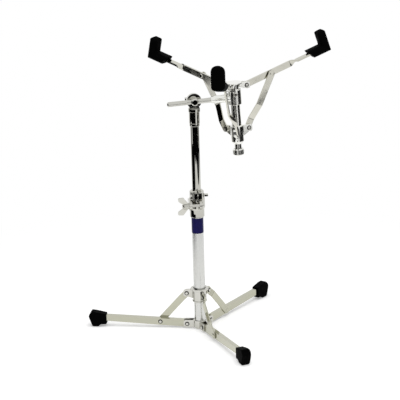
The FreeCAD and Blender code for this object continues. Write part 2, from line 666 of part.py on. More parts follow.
# Height clamp, its bush and the memory lock
def make_clamp():
    """Casting over the end of the lower tube, split in front, with two lugs for the clamp bolt."""
    seat = LOWER_TUBE_D / 2
    outer = CLAMP_D / 2
    skirt = CLAMP_SKIRT_D / 2
    skirt_top = CLAMP_BOTTOM + CLAMP_SKIRT_HEIGHT
    body = turned([(seat, CLAMP_BOTTOM), (skirt, CLAMP_BOTTOM, EDGE), (skirt, skirt_top),
                   (outer, skirt_top + CLAMP_SHOULDER), (outer, CLAMP_TOP, EDGE), (seat, CLAMP_TOP)])
    left = CLAMP_SLIT_X - CLAMP_MOUTH / 2
    right = CLAMP_SLIT_X + CLAMP_MOUTH / 2
    low = CLAMP_TOP - CLAMP_LUG_HEIGHT
    high = CLAMP_TOP - STEP
    nose = CLAMP_LUG_HEIGHT / 2
    parts = [body]
    for x0, root in ((left - CLAMP_LUG_THICK, 0.0), (right, -seat)):
        outline = [(root, low), (-CLAMP_LUG_REACH, low, nose), (-CLAMP_LUG_REACH, high, nose), (root, high)]
        parts.append(end_plate(outline, x0, x0 + CLAMP_LUG_THICK))
    clamp = fused(parts).cut(rod_along(Z_AXIS, seat, CLAMP_BOTTOM - PAST, CLAMP_TOP + PAST))
    slit = Part.makeBox(CLAMP_SLIT, CLAMP_D, CLAMP_LUG_HEIGHT + PAST,
                        vec(CLAMP_SLIT_X - CLAMP_SLIT / 2, -CLAMP_D, low))
    bolt = rod_along(X_AXIS, CLAMP_BOLT_D / 2, -CLAMP_D * 2, CLAMP_D * 2, 0, -CLAMP_BOLT_REACH, CLAMP_BOLT_Z)
    return clamp.cut(slit).cut(bolt)


def clamp_lug_face():
    """Outer face of the left lug, where the washer sits."""
    return CLAMP_SLIT_X - CLAMP_MOUTH / 2 - CLAMP_LUG_THICK


def make_clamp_bolt():
    right = CLAMP_SLIT_X + CLAMP_MOUTH / 2 + CLAMP_LUG_THICK
    end = clamp_lug_face() - WASHER_THICK - SEAT_GAP - WING_HUB_LENGTH - BOLT_PAST
    shank = rod_along(X_AXIS, CLAMP_BOLT_D / 2, end, right)
    radius = CLAMP_BOLT_HEAD_D / 2
    top = right + CLAMP_BOLT_HEAD_H
    head = turned([(0, right), (radius, right), (radius, top, CLAMP_BOLT_HEAD_BEVEL), (0, top)], X_AXIS)
    bolt = fused([shank, head])
    bolt.translate(vec(0, -CLAMP_BOLT_REACH, CLAMP_BOLT_Z))
    return bolt


def make_clamp_washer():
    face = clamp_lug_face()
    washer = rod_along(X_AXIS, CLAMP_BOLT_D, face - WASHER_THICK, face)
    washer = washer.cut(rod_along(X_AXIS, CLAMP_BOLT_D / 2, face - WASHER_THICK - PAST, face + PAST))
    washer.translate(vec(0, -CLAMP_BOLT_REACH, CLAMP_BOLT_Z))
    return washer


def make_clamp_nut():
    """Wing nut on the clamp bolt, its wings flared away from the post."""
    nut = turn(wing_head(CLAMP_WING_LEAN), 180)
    nut.translate(vec(clamp_lug_face() - WASHER_THICK - SEAT_GAP, 0, 0))
    nut = nut.cut(rod_along(X_AXIS, CLAMP_BOLT_D / 2 + RUN, -CLAMP_D * 3, CLAMP_D))
    nut.translate(vec(0, -CLAMP_BOLT_REACH, CLAMP_BOLT_Z))
    return nut


def make_height_bush():
    """Flanged nylon bush in the end of the lower tube, in which the upper tube slides."""
    inner = UPPER_TUBE_D / 2 + RUN
    outer = LOWER_TUBE_D / 2 - LOWER_TUBE_WALL - RUN
    flange = LOWER_TUBE_D / 2 - RUN
    low, high = TUBE_TOP - BUSH_LENGTH, TUBE_TOP + BUSH_FLANGE
    return turned([(inner, low), (outer, low), (outer, TUBE_TOP), (flange, TUBE_TOP), (flange, high),
                   (inner, high)])


def make_lock():
    """Split ring on the upper tube, resting on the clamp."""
    inner = UPPER_TUBE_D / 2 + RUN
    outer = LOCK_D / 2
    top = LOCK_BOTTOM + LOCK_HEIGHT
    ring = turned([(inner, LOCK_BOTTOM), (outer, LOCK_BOTTOM, EDGE), (outer, top, LOCK_CROWN), (inner, top)])
    half = LOCK_LUG_WIDTH / 2
    front, root = -LOCK_LUG_REACH, -LOCK_LUG_ROOT
    lug = plan_plate([(-half, root), (-half, front, LOCK_LUG_CORNER), (half, front, LOCK_LUG_CORNER),
                      (half, root)], LOCK_BOTTOM + LOCK_LUG_STEP, top - LOCK_LUG_STEP)
    lock = fused([ring, lug]).cut(rod_along(Z_AXIS, inner, LOCK_BOTTOM - PAST, top + PAST))
    slit = Part.makeBox(LOCK_SLIT, LOCK_D, LOCK_HEIGHT + 2 * PAST,
                        vec(-LOCK_SLIT / 2, -LOCK_D, LOCK_BOTTOM - PAST))
    bolt = rod_along(X_AXIS, LOCK_BOLT_D / 2 + RUN, -LOCK_D, LOCK_D, 0, -LOCK_BOLT_REACH, lock_bolt_z())
    return lock.cut(slit).cut(bolt)


def lock_bolt_z():
    return LOCK_BOTTOM + LOCK_HEIGHT / 2


def make_lock_bolt():
    """Bolt of the memory lock with a round flange and a square key head."""
    half = LOCK_LUG_WIDTH / 2
    start = half + SEAT_GAP
    shank = rod_along(X_AXIS, LOCK_BOLT_D / 2, -half - 2 * BOLT_PAST, start)
    flange_end = start + LOCK_FLANGE
    flange = rod_along(X_AXIS, LOCK_BOLT_D, start, flange_end)
    side = LOCK_KEY_SIZE / 2
    key = end_plate([(-side, -side), (side, -side), (side, side), (-side, side)],
                    start + STEP, flange_end + LOCK_KEY_LENGTH)
    bolt = fused([shank, flange, key])
    bolt.translate(vec(0, -LOCK_BOLT_REACH, lock_bolt_z()))
    return bolt


# Upper tube and tilter
def make_upper_tube():
    outer = UPPER_TUBE_D / 2
    return turned([(outer - UPPER_TUBE_WALL, UPPER_TUBE_BOTTOM), (outer, UPPER_TUBE_BOTTOM),
                   (outer, UPPER_TUBE_TOP), (outer - UPPER_TUBE_WALL, UPPER_TUBE_TOP)])


def make_head_ring():
    """Bright stop ring under the tilter head."""
    inner = UPPER_TUBE_D / 2
    outer = HEAD_RING_D / 2
    low = HEAD_BOTTOM - HEAD_RING_HEIGHT
    return turned([(inner, low), (outer, low, EDGE), (outer, HEAD_BOTTOM, EDGE), (inner, HEAD_BOTTOM)])


def make_tilter_head():
    """Beaded sleeve on the upper tube that carries the upright disc of the tilter."""
    seat = UPPER_TUBE_D / 2
    outer = HEAD_SLEEVE_D / 2
    bead = outer + HEAD_BEAD
    bead_low, bead_high = UPPER_TUBE_TOP - HEAD_BEAD_LOW, UPPER_TUBE_TOP + HEAD_BEAD_HIGH
    half = HEAD_DISC_THICK / 2
    shoulder = EYE_Z - HEAD_SHOULDER
    sleeve = turned([(seat, HEAD_BOTTOM), (outer, HEAD_BOTTOM), (outer, bead_low), (bead, bead_low, EDGE),
                     (bead, bead_high, EDGE), (half, shoulder), (0, shoulder), (0, UPPER_TUBE_TOP),
                     (seat, UPPER_TUBE_TOP)])
    wide = 2 * HEAD_DISC_D
    web = Part.makeBox(wide, HEAD_DISC_THICK, wide, vec(-HEAD_DISC_D, -half, bead_high))
    below = Part.makeBox(wide, wide, bead_high - HEAD_BOTTOM + PAST,
                         vec(-HEAD_DISC_D, -HEAD_DISC_D, HEAD_BOTTOM - PAST))
    sleeve = sleeve.common(fused([web, below]))
    disc = rod_along(Y_AXIS, HEAD_DISC_D / 2, -half, half, 0, 0, EYE_Z)
    head = fused([sleeve, disc])
    dish_r = HEAD_DISC_D / 2 - HEAD_DISC_RIM
    dish = rod_along(Y_AXIS, dish_r, -half - PAST, -half + HEAD_DISC_DISH, 0, 0, EYE_Z)
    bolt = rod_along(Y_AXIS, EYE_BOLT_D / 2 + RUN, -half - PAST, half + PAST, 0, 0, EYE_Z)
    return head.cut(dish).cut(bolt)


def make_eye_bolt():
    """Bolt through the disc whose round head is bored across for the rod."""
    half = HEAD_DISC_THICK / 2
    back = half + SEAT_GAP * 2 + WASHER_THICK + WING_HUB_LENGTH + BOLT_PAST
    shank = rod_along(Y_AXIS, EYE_BOLT_D / 2, -half, back)
    radius = EYE_HEAD_D / 2
    base = -half + HEAD_DISC_DISH - SEAT_GAP
    tall = base - EYE_FRONT
    head = turn(turned([(0, 0), (radius, 0), (radius, tall, EYE_HEAD_CROWN), (0, tall)]), 90, X_AXIS)
    head.translate(vec(0, base, 0))
    bolt = fused([shank, head])
    bore = rod_along(X_AXIS, ROD_D / 2 + RUN, -HEAD_DISC_D, HEAD_DISC_D, 0, ROD_Y)
    bolt = turn(bolt.cut(bore), -ROD_TILT, Y_AXIS)
    bolt.translate(vec(0, 0, EYE_Z))
    return bolt


def make_tilter_washer():
    half = HEAD_DISC_THICK / 2 + SEAT_GAP
    washer = rod_along(Y_AXIS, EYE_BOLT_D, half, half + WASHER_THICK, 0, 0, EYE_Z)
    return washer.cut(rod_along(Y_AXIS, EYE_BOLT_D / 2, 0, half + WASHER_THICK + PAST, 0, 0, EYE_Z))


def make_tilter_nut():
    nut = turn(wing_head(TILTER_WING_LEAN, TILTER_WING_SPAN), 90)
    nut.translate(vec(0, HEAD_DISC_THICK / 2 + SEAT_GAP * 2 + WASHER_THICK, 0))
    nut = nut.cut(rod_along(Y_AXIS, EYE_BOLT_D / 2 + RUN, 0, HEAD_DISC_D * 2))
    nut.translate(vec(0, 0, EYE_Z))
    return nut


def socket_start():
    """Mouth of the rod socket along the rod."""
    return BASKET_REACH - BLOCK_D / 2 - SOCKET_LENGTH


def make_rod():
    end = socket_start() + ROD_IN_SOCKET
    radius = ROD_D / 2
    rod = turned([(0, -ROD_TAIL), (radius, -ROD_TAIL, ROD_END_BEVEL), (radius, end), (0, end)], X_AXIS)
    return rod_frame(rod)


# Basket centre
def make_block():
    """Sleeve round the centre tube with the tapered socket for the rod."""
    outer = BLOCK_D / 2
    bore = CENTRE_TUBE_D / 2
    body = turned([(bore, BLOCK_BOTTOM), (outer, BLOCK_BOTTOM, EDGE), (outer, BLOCK_TOP, EDGE),
                   (bore, BLOCK_TOP)])
    mouth = socket_start() - BASKET_REACH
    radius = SOCKET_D / 2
    flange = SOCKET_FLANGE_D / 2
    root = -bore - STEP
    socket = turned([(0, mouth), (ROD_D / 2 + SOCKET_MOUTH_WALL, mouth), (radius, mouth + SOCKET_TAPER),
                     (radius, -outer - SOCKET_FLANGE), (flange, -outer - SOCKET_FLANGE, EDGE),
                     (flange, root), (0, root)], X_AXIS)
    block = fused([body, socket]).cut(rod_along(Z_AXIS, bore, BLOCK_BOTTOM - PAST, BLOCK_TOP + PAST))
    block = block.cut(rod_along(X_AXIS, ROD_D / 2, mouth - PAST, mouth + ROD_IN_SOCKET))
    block = block.cut(rod_along(Y_AXIS, BLOCK_SCREW_D / 2, -outer - PAST, -bore + PAST, 0, 0, BLOCK_SCREW_H))
    return basket_frame(block)


def make_block_screw():
    """Round-headed screw in the front of the block, which holds the centre tube."""
    outer = BLOCK_D / 2
    radius = BLOCK_SCREW_D / 2
    rim, tall = BLOCK_SCREW_HEAD_D / 2, BLOCK_SCREW_HEAD_H
    head = turn(turned([(0, 0), (rim, 0), (rim, tall, BLOCK_SCREW_CROWN), (0, tall)]), 90, X_AXIS)
    head.translate(vec(0, -outer, 0))
    slot = Part.makeBox(2 * BLOCK_SCREW_HEAD_D, BLOCK_SCREW_SLOT, BLOCK_SCREW_SLOT,
                        vec(-BLOCK_SCREW_HEAD_D, -outer - tall, -BLOCK_SCREW_SLOT / 2))
    shank = rod_along(Y_AXIS, radius, -outer - STEP, -CENTRE_TUBE_D / 2)
    screw = fused([shank, head]).cut(slot)
    screw = screw.cut(rod_along(Z_AXIS, CENTRE_TUBE_D / 2, -radius * 2, radius * 2))
    screw.translate(vec(0, 0, BLOCK_SCREW_H))
    return basket_frame(screw)


def hub_floor_top():
    """Inner floor of the lower hub, at rest."""
    return LOWER_HUB_BOTTOM + LOWER_HUB_FLOOR


def centre_tube_bottom():
    """End of the centre tube, which the floor of the lower hub comes up to when the arms are shut."""
    return hub_floor_top() + link_heights()["hub_travel"] + SEAT_GAP


def make_centre_tube():
    outer = CENTRE_TUBE_D / 2
    inner = outer - CENTRE_TUBE_WALL
    low, top = centre_tube_bottom(), TOP_HUB_TOP - TOP_HUB_THICK
    return basket_frame(turned([(inner, low), (outer, low), (outer, top), (inner, top)]))


def make_screw_plug():
    """Nut pressed into the end of the centre tube for the knob's screw."""
    inner = SCREW_D / 2 + RUN
    outer = CENTRE_TUBE_D / 2 - CENTRE_TUBE_WALL
    low = centre_tube_bottom()
    top = low + PLUG_LENGTH
    return basket_frame(turned([(inner, low), (outer, low), (outer, top), (inner, top)]))


def make_top_hub():
    """Cap plate on the centre tube with three forks for the arms."""
    seat = CENTRE_TUBE_D / 2
    low = TOP_HUB_TOP - TOP_HUB_THICK
    cap = turned([(0, low), (TOP_HUB_D / 2, low), (TOP_HUB_D / 2, TOP_HUB_TOP, EDGE), (0, TOP_HUB_TOP)])
    inner = ARM_EAR_OUT - ARM_EAR_THICK
    parts = [cap]
    for index in range(3):
        for y0, y1 in ((inner, ARM_EAR_OUT), (-ARM_EAR_OUT, -inner)):
            plate = ear(seat + STEP, ARM_PIVOT_R, ARM_PIVOT_H, BLOCK_TOP + TOP_HUB_CLEAR, TOP_HUB_TOP - STEP,
                        ARM_EAR_END, y0, y1)
            parts.append(turn(plate, BASKET_TURN + THIRD * index))
    hub = fused(parts).cut(rod_along(Z_AXIS, seat, 0, low))
    reach = ARM_EAR_OUT + PAST
    for index in range(3):
        hole = rod_along(Y_AXIS, RIVET_SHANK_D / 2, -reach, reach, ARM_PIVOT_R, 0, ARM_PIVOT_H)
        hub = hub.cut(turn(hole, BASKET_TURN + THIRD * index))
    return basket_frame(hub)


def make_arm_pivots():
    return basket_frame(three_rivets(ARM_PIVOT_R, ARM_PIVOT_H, -ARM_EAR_OUT, ARM_EAR_OUT, BASKET_TURN))


# Arms, sleeves and struts
def arm_tongue():
    """Flat outer end of an arm with its upturned tip, drawn along +X from the pivot."""
    half = ARM_THICK / 2
    middle = SLEEVE_HEEL - SLEEVE_THICK / 2
    tip = SLEEVE_HEIGHT - SLEEVE_THICK / 2 - ARM_TIP_COVER
    outline = [(ARM_TWIST_END, -half), (middle + half, -half, ARM_BEND + ARM_THICK),
               (middle + half, tip, EDGE), (middle - half, tip, EDGE), (middle - half, half, ARM_BEND),
               (ARM_TWIST_END, half)]
    return side_plate(outline, -ARM_DEPTH / 2, ARM_DEPTH / 2)


def arm_section(along, angle):
    """Cross-section of the strap at a place on its length, turned about its centre line."""
    half_t, half_d = ARM_THICK / 2, ARM_DEPTH / 2
    corners = [vec(along, -half_t, -half_d), vec(along, half_t, -half_d), vec(along, half_t, half_d),
               vec(along, -half_t, half_d)]
    wire = Part.makePolygon(corners + corners[:1])
    wire.rotate(vec(along, 0, 0), X_AXIS, angle)
    return wire


def make_arm():
    """Flat strap on edge at the hub, twisted a quarter turn to lie flat in its sleeve."""
    half = ARM_DEPTH / 2
    blade = side_plate([(-half, -half, half), (ARM_TWIST_START, -half), (ARM_TWIST_START, half),
                        (-half, half, half)], -ARM_THICK / 2, ARM_THICK / 2)
    sections = []
    for index in range(ARM_TWIST_STEPS + 1):
        share = index / ARM_TWIST_STEPS
        along = ARM_TWIST_START + share * (ARM_TWIST_END - ARM_TWIST_START)
        sections.append(arm_section(along, 90 * share))
    twist = Part.makeLoft(sections, True, True)
    arm = fused([blade, twist, arm_tongue()])
    pivot = rod_along(Y_AXIS, RIVET_SHANK_D / 2 + RUN, -ARM_DEPTH, ARM_DEPTH)
    stud = rod_along(Y_AXIS, RIVET_SHANK_D / 2, -ARM_DEPTH, ARM_DEPTH, ARM_STRUT_AT)
    return arm.cut(pivot).cut(stud)


def make_sleeve():
    """L-shaped rubber sleeve of oval section: mitred at its heel, round on top, open on a slant."""
    half, wide = SLEEVE_THICK / 2, SLEEVE_WIDTH / 2
    inner, middle = SLEEVE_HEEL - SLEEVE_THICK, SLEEVE_HEEL - half
    low_lip = SLEEVE_START + SLEEVE_LIP_BACK
    top = SLEEVE_HEIGHT - half
    oval = [(-half, -wide, half), (half, -wide, half), (half, wide, half), (-half, wide, half)]
    flat_side = [(low_lip, -half), (SLEEVE_HEEL, -half), (inner, half), (SLEEVE_START, half)]
    flat = end_plate([(v, u, r) for u, v, r in oval], SLEEVE_START, SLEEVE_HEEL)
    flat = flat.common(side_plate(flat_side, -wide, wide))
    upright_side = [(SLEEVE_HEEL, -half), (SLEEVE_HEEL, top, SLEEVE_CROWN), (inner, top, SLEEVE_CROWN),
                    (inner, half)]
    front = [(-wide, -half), (wide, -half), (wide, top, wide), (-wide, top, wide)]
    upright = plan_plate([(middle + u, v, r) for u, v, r in oval], -half, top)
    upright = upright.common(side_plate(upright_side, -wide, wide))
    upright = upright.common(end_plate(front, inner, SLEEVE_HEEL))
    return fused([flat, upright]).cut(arm_tongue())


def make_arm_rivet():
    """Shouldered rivet in the arm, which ends flush at the strut, because the linkage is opened there."""
    shoulder_end = STRUT_TOP_OFFSET + STRUT_THICK / 2 + SIDE_GAP
    one = rivet(ARM_THICK, heads=(False, True))
    one.translate(vec(0, -ARM_THICK / 2, 0))
    shoulder = rod_along(Y_AXIS, RIVET_HEAD_D / 2, shoulder_end, -ARM_THICK / 2)
    one = fused([one, shoulder])
    one.translate(vec(ARM_STRUT_AT, 0, 0))
    return one


def make_strut():
    """S-bent strap from the lower hub's lug to the side of an arm, with the strut half of its rivet."""
    links = link_heights()
    length = links["strut_length"]
    strap = jogged_strap(length, STRUT_WIDTH, STRUT_THICK, STRUT_LOW_OFFSET, STRUT_TOP_OFFSET,
                         STRUT_JOG_START, STRUT_JOG_END)
    hole = rod_along(Y_AXIS, RIVET_SHANK_D / 2 + RUN, -STRUT_WIDTH, STRUT_WIDTH)
    head = rivet_head(-1)
    head.translate(vec(length, STRUT_TOP_OFFSET - STRUT_THICK / 2, 0))
    strap = fused([strap.cut(hole), head])
    start = (LOWER_PIVOT_R, LOWER_PIVOT_H)
    return slope_plane(strap, start, slope_of(start, arm_point(ARM_STRUT_AT)))


def on_arm(shape, index):
    """Copy of a shape drawn along an arm, at the arm's slope, in its third of the basket."""
    laid = slope_plane(shape, (ARM_PIVOT_R, ARM_PIVOT_H), ARM_RISE)
    return basket_frame(turn(laid, BASKET_TURN + THIRD * index))


# Lower hub and knob
def make_lower_hub():
    """Sliding sleeve under the block with three lugs for the struts and a collar for the knob."""
    inner = CENTRE_TUBE_D / 2 + RUN
    outer = LOWER_HUB_D / 2
    hole = SCREW_D / 2 + RUN
    floor = hub_floor_top()
    body = turned([(inner, LOWER_HUB_TOP), (outer, LOWER_HUB_TOP, EDGE),
                   (outer, LOWER_HUB_BOTTOM + LOWER_HUB_CHIN), (outer - LOWER_HUB_CHIN_IN, LOWER_HUB_BOTTOM),
                   (hole, LOWER_HUB_BOTTOM), (hole, floor), (inner, floor)])
    half = LOWER_LUG_THICK / 2
    parts = [body]
    for index in range(3):
        lug = ear(inner + STEP, LOWER_PIVOT_R, LOWER_PIVOT_H, LOWER_HUB_TOP - LOWER_LUG_ROOT,
                  LOWER_HUB_TOP - EDGE - STEP, LOWER_LUG_END, -half, half)
        parts.append(turn(lug, BASKET_TURN + THIRD * index))
    hub = fused(parts).cut(rod_along(Z_AXIS, inner, floor, LOWER_HUB_TOP + PAST))
    pin = rod_along(Y_AXIS, RIVET_SHANK_D / 2, -STRUT_WIDTH, STRUT_WIDTH, LOWER_PIVOT_R, 0, LOWER_PIVOT_H)
    for index in range(3):
        hub = hub.cut(turn(pin, BASKET_TURN + THIRD * index))
    return basket_frame(hub)


def make_strut_rivets():
    half = LOWER_LUG_THICK / 2
    end = STRUT_LOW_OFFSET + STRUT_THICK / 2 + SIDE_GAP
    return basket_frame(three_rivets(LOWER_PIVOT_R, LOWER_PIVOT_H, -half, end, BASKET_TURN))


def make_knob():
    """Knob with a fluted rim and its screw, which draws the lower hub along the centre tube."""
    neck_top = LOWER_HUB_BOTTOM - SEAT_GAP
    neck_low = neck_top - NECK_LENGTH
    low = neck_low - KNOB_HEIGHT
    radius = KNOB_D / 2
    neck = NECK_D / 2
    knob = turned([(0, low), (radius, low, KNOB_BEVEL), (radius, neck_low, KNOB_BEVEL), (neck, neck_low),
                   (neck, neck_top), (0, neck_top)])
    flute = rod_along(Z_AXIS, KNOB_FLUTE_D / 2, low + KNOB_RIM, neck_low - KNOB_RIM, radius + KNOB_FLUTE_OUT)
    flutes = [turn(flute, 360.0 / KNOB_FLUTES * index) for index in range(KNOB_FLUTES)]
    knob = knob.cut(Part.Compound(flutes))
    screw = rod_along(Z_AXIS, SCREW_D / 2, neck_top - STEP, neck_top + SCREW_LENGTH)
    return basket_frame(fused([knob, screw]))


def build_nodes():
    """Every piece of the stand by its name."""
    nodes = {
        "lower_tube": make_lower_tube(),
        "label_band": make_label(),
        "leg_hub": make_leg_hub(),
        "leg_pivot_rivets": make_hub_rivets(),
        "leg_collar": make_collar(),
        "collar_bush": make_collar_bush(),
        "collar_rivets": make_collar_rivets(),
        "leg_thumbscrew": make_thumbscrew(),
        "height_clamp": make_clamp(),
        "clamp_bolt": make_clamp_bolt(),
        "clamp_washer": make_clamp_washer(),
        "clamp_wing_nut": make_clamp_nut(),
        "height_bush": make_height_bush(),
        "memory_lock": make_lock(),
        "lock_key_bolt": make_lock_bolt(),
        "upper_tube": make_upper_tube(),
        "head_ring": make_head_ring(),
        "tilter_head": make_tilter_head(),
        "eye_bolt": make_eye_bolt(),
        "tilter_washer": make_tilter_washer(),
        "tilter_wing_nut": make_tilter_nut(),
        "tilter_rod": make_rod(),
        "basket_block": make_block(),
        "block_screw": make_block_screw(),
        "centre_tube": make_centre_tube(),
        "screw_plug": make_screw_plug(),
        "top_hub": make_top_hub(),
        "arm_pivot_rivets": make_arm_pivots(),
        "lower_hub": make_lower_hub(),
        "strut_rivets": make_strut_rivets(),
        "adjusting_knob": make_knob(),
    }
    leg, leg_rivet, foot, brace = make_leg(), make_leg_rivet(), make_foot(), make_brace()
    for index, name in enumerate(LEG_NAMES):
        azimuth = LEG_TURN + THIRD * index
        nodes["leg_" + name] = turn(leg, azimuth)
        nodes["leg_rivet_" + name] = turn(leg_rivet, azimuth)
        nodes["foot_" + name] = turn(foot, azimuth)
        nodes["brace_" + name] = turn(brace, azimuth)
    arm, sleeve, arm_rivet, strut = make_arm(), make_sleeve(), make_arm_rivet(), make_strut()
    for index, name in enumerate(ARM_NAMES):
        nodes["arm_" + name] = on_arm(arm, index)
        nodes["arm_rivet_" + name] = on_arm(arm_rivet, index)
        nodes["sleeve_" + name] = on_arm(sleeve, index)
        nodes["strut_" + name] = basket_frame(turn(strut, BASKET_TURN + THIRD * index))
    return nodes


NODES = build_nodes()
os.makedirs("parts", exist_ok=True)
for node_name, node_shape in NODES.items():
    node_shape.exportStep(os.path.join("parts", node_name + ".step"))
LINKS = link_heights()
print(len(NODES), "nodes;", {key: round(value, 3) for key, value in LINKS.items()})
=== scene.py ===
import json
import math

import bmesh
import bpy
from mathutils import Matrix, Vector


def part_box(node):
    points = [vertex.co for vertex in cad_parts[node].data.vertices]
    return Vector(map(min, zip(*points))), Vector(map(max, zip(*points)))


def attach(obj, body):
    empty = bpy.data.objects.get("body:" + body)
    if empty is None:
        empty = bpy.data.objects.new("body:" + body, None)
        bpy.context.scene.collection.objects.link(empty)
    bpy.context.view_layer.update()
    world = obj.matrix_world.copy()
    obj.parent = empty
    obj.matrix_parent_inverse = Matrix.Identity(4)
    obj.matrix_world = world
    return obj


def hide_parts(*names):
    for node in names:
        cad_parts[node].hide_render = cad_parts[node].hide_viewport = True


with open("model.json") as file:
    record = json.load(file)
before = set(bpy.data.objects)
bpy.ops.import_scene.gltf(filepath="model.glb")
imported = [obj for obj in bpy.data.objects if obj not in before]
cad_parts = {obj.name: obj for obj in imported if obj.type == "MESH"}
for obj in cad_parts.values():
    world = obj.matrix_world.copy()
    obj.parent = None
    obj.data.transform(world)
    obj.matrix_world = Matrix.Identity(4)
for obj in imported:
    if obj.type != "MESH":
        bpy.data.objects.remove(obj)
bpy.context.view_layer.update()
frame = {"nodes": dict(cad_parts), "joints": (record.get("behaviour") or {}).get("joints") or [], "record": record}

# Looks of a snare drum stand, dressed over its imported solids. Metres, with +Z up and the origin on the floor
# under the post.

bl_info = {
    "name": "Snare Drum Stand",
    "version": (1, 0, 0),
    "blender": (4, 5, 0),
    "location": "View3D > Sidebar > Drum Stand",
    "description": "Dresses the parts of a folding snare drum stand and sets its studio",
    "category": "Object",
}

BODY_OF = {node: body for body, nodes in frame["record"]["behaviour"]["bodies"].items() for node in nodes}
JOINTS = {joint["name"]: joint for joint in frame["joints"]}
LEGS = ("rear", "left", "front")
ARMS = ("right", "left", "front")

# Pieces by their finish
TUBES = {"lower_tube": "satin tube", "upper_tube": "bright chrome"}
CASTINGS = ("leg_hub", "leg_collar", "height_clamp", "memory_lock", "tilter_head", "head_ring")
SOFT_CASTINGS = ("basket_block", "top_hub", "lower_hub", "centre_tube")
BRIGHT_RODS = ("tilter_rod", "screw_plug")
WINGED = ("leg_thumbscrew", "clamp_wing_nut", "tilter_wing_nut")
BOLTS = ("clamp_bolt", "clamp_washer", "lock_key_bolt", "eye_bolt", "tilter_washer", "block_screw")
LINERS = ("collar_bush", "height_bush")
RIVET_JOINTS = {
    "leg_pivot_rivets": ["leg_%s_fold" % leg for leg in LEGS],
    "collar_rivets": ["brace_%s_swing" % leg for leg in LEGS],
    "arm_pivot_rivets": ["arm_%s_swing" % arm for arm in ARMS],
    "strut_rivets": ["strut_%s_swing" % arm for arm in ARMS],
}
LOOSE_RIVETS = {"leg_rivet_" + leg: "leg_%s_fold" % leg for leg in LEGS}

# Facets of the solids that meet at less than this angle become one face
FLAT_ANGLE = math.radians(0.4)

# Facets across a rounded edge, and the share of a step that each pass softens the rubber by
EDGE_FACETS = 2
SOFTENING = 0.5

# Rings of facets from a rivet's rim to its crown, the power of the dome's curve, and how many times a head's
# height or a shank's radius a corner of the solid may lie away and still count as in it
DOME_RINGS = 8
DOME_POWER = 3.5
RIVET_SLACK = 1.1

# Rays that look for a crevice and their length, the openness at which the painted shade in a piece's own corners
# is full and at which it is gone, and the share of the plate's colour that full painted shade leaves
CREVICE_RAYS = 8
CREVICE_REACH = 0.005
CREVICE_FULL = 0.45
CREVICE_GONE = 0.8
CREVICE_SHADE = 0.04

# Height of a flat card's far edge, degrees between the corners of a card, and its height over the floor
CARD_EDGE = 0.01
CARD_STEP = 4.0
CARD_LIFT = 0.004

# Dark cards on the floor and one dark wall: name, first and last azimuth in degrees, nearest distance or none
# for the paper's edge, farthest distance, and height of the far edge
DARK_SECTORS = (
    ("dark_card", -212.0, -122.0, 0.74, 0.96, CARD_EDGE),
    ("dark_left", -215.0, -140.0, None, 1.55, CARD_EDGE),
    ("dark_left_rear", -215.0, -186.0, 1.55, 1.85, CARD_EDGE),
    ("dark_left_fore", -166.0, -140.0, 1.55, 1.85, CARD_EDGE),
    ("dark_left_wall", -215.0, -140.0, 1.85, 3.5, 1.8),
    ("dark_fore_strip", -104.0, -62.0, 0.93, 1.06, CARD_EDGE),
    ("dark_front", -140.0, -72.0, None, 2.4, CARD_EDGE),
    ("dark_fore_right", -72.0, -42.0, None, 1.8, CARD_EDGE),
    ("dark_strip", -72.0, -42.0, 2.28, 2.42, CARD_EDGE),
    ("dark_right", -42.0, 30.0, None, 4.5, CARD_EDGE),
)

# Edges of the paper under the stand: azimuth that an edge faces in degrees, and its distance from the post
PAPER_EDGES = ((-150.0, 1.16), (-90.0, 1.34), (-35.0, 1.12), (49.0, 1.12), (139.0, 1.12), (-180.0, 0.62))

# Paints of the studio
WHITE = (1, 1, 1, 1)
DARK_PAINT = (0.002, 0.002, 0.002, 1)
FLOOR_ROUGHNESS = 0.9

# Camera's sensor in millimetres, and the distance in metres to which it sees
SENSOR_WIDTH = 36.0
SIGHT = 50.0


class StandSizes(bpy.types.PropertyGroup):
    """Small sizes that the dressing adds to the solids."""

    weld: bpy.props.FloatProperty(
        name="Weld", description="Distance at which corners of the solids are joined",
        default=0.00002, unit="LENGTH")
    casting_edge: bpy.props.FloatProperty(
        name="Casting edge", description="Rounding of the edges of cast pieces",
        default=0.0006, unit="LENGTH")
    strap_edge: bpy.props.FloatProperty(
        name="Strap edge", description="Rounding of the edges of pressed straps",
        default=0.00045, unit="LENGTH")
    bolt_edge: bpy.props.FloatProperty(
        name="Bolt edge", description="Rounding of the edges of bolts, rods, liners and the knob",
        default=0.0003, unit="LENGTH")
    label_edge: bpy.props.FloatProperty(
        name="Label edge", description="Rounding of the edges of the navy band",
        default=0.00005, unit="LENGTH")
    edge_angle: bpy.props.FloatProperty(
        name="Edge angle", description="Edges sharper than this are rounded",
        default=math.radians(38), subtype="ANGLE")
    tube_sides: bpy.props.IntProperty(
        name="Tube sides", description="Facets round a tube", default=96)
    tube_lip: bpy.props.FloatProperty(
        name="Tube lip", description="Rounding of a tube's cut ends",
        default=0.0004, unit="LENGTH")
    rivet_sides: bpy.props.IntProperty(
        name="Rivet sides", description="Facets round a rivet", default=32)
    rivet_head: bpy.props.FloatProperty(
        name="Rivet head", description="Height of a rivet's domed head",
        default=0.0018, unit="LENGTH")
    rivet_head_radius: bpy.props.FloatProperty(
        name="Rivet head radius", description="Radius of a rivet's head",
        default=0.005, unit="LENGTH")
    rivet_shank_radius: bpy.props.FloatProperty(
        name="Rivet shank radius", description="Radius of a rivet's shank",
        default=0.003, unit="LENGTH")
    rivet_reach: bpy.props.FloatProperty(
        name="Rivet reach", description="Distance from a pivot that holds its rivet",
        default=0.016, unit="LENGTH")
    rubber_grain: bpy.props.FloatProperty(
        name="Rubber mesh", description="Facet size of the moulded rubber",
        default=0.0009, unit="LENGTH")
    rubber_smoothing: bpy.props.IntProperty(
        name="Rubber smoothing", description="Passes that soften the rubber", default=5)


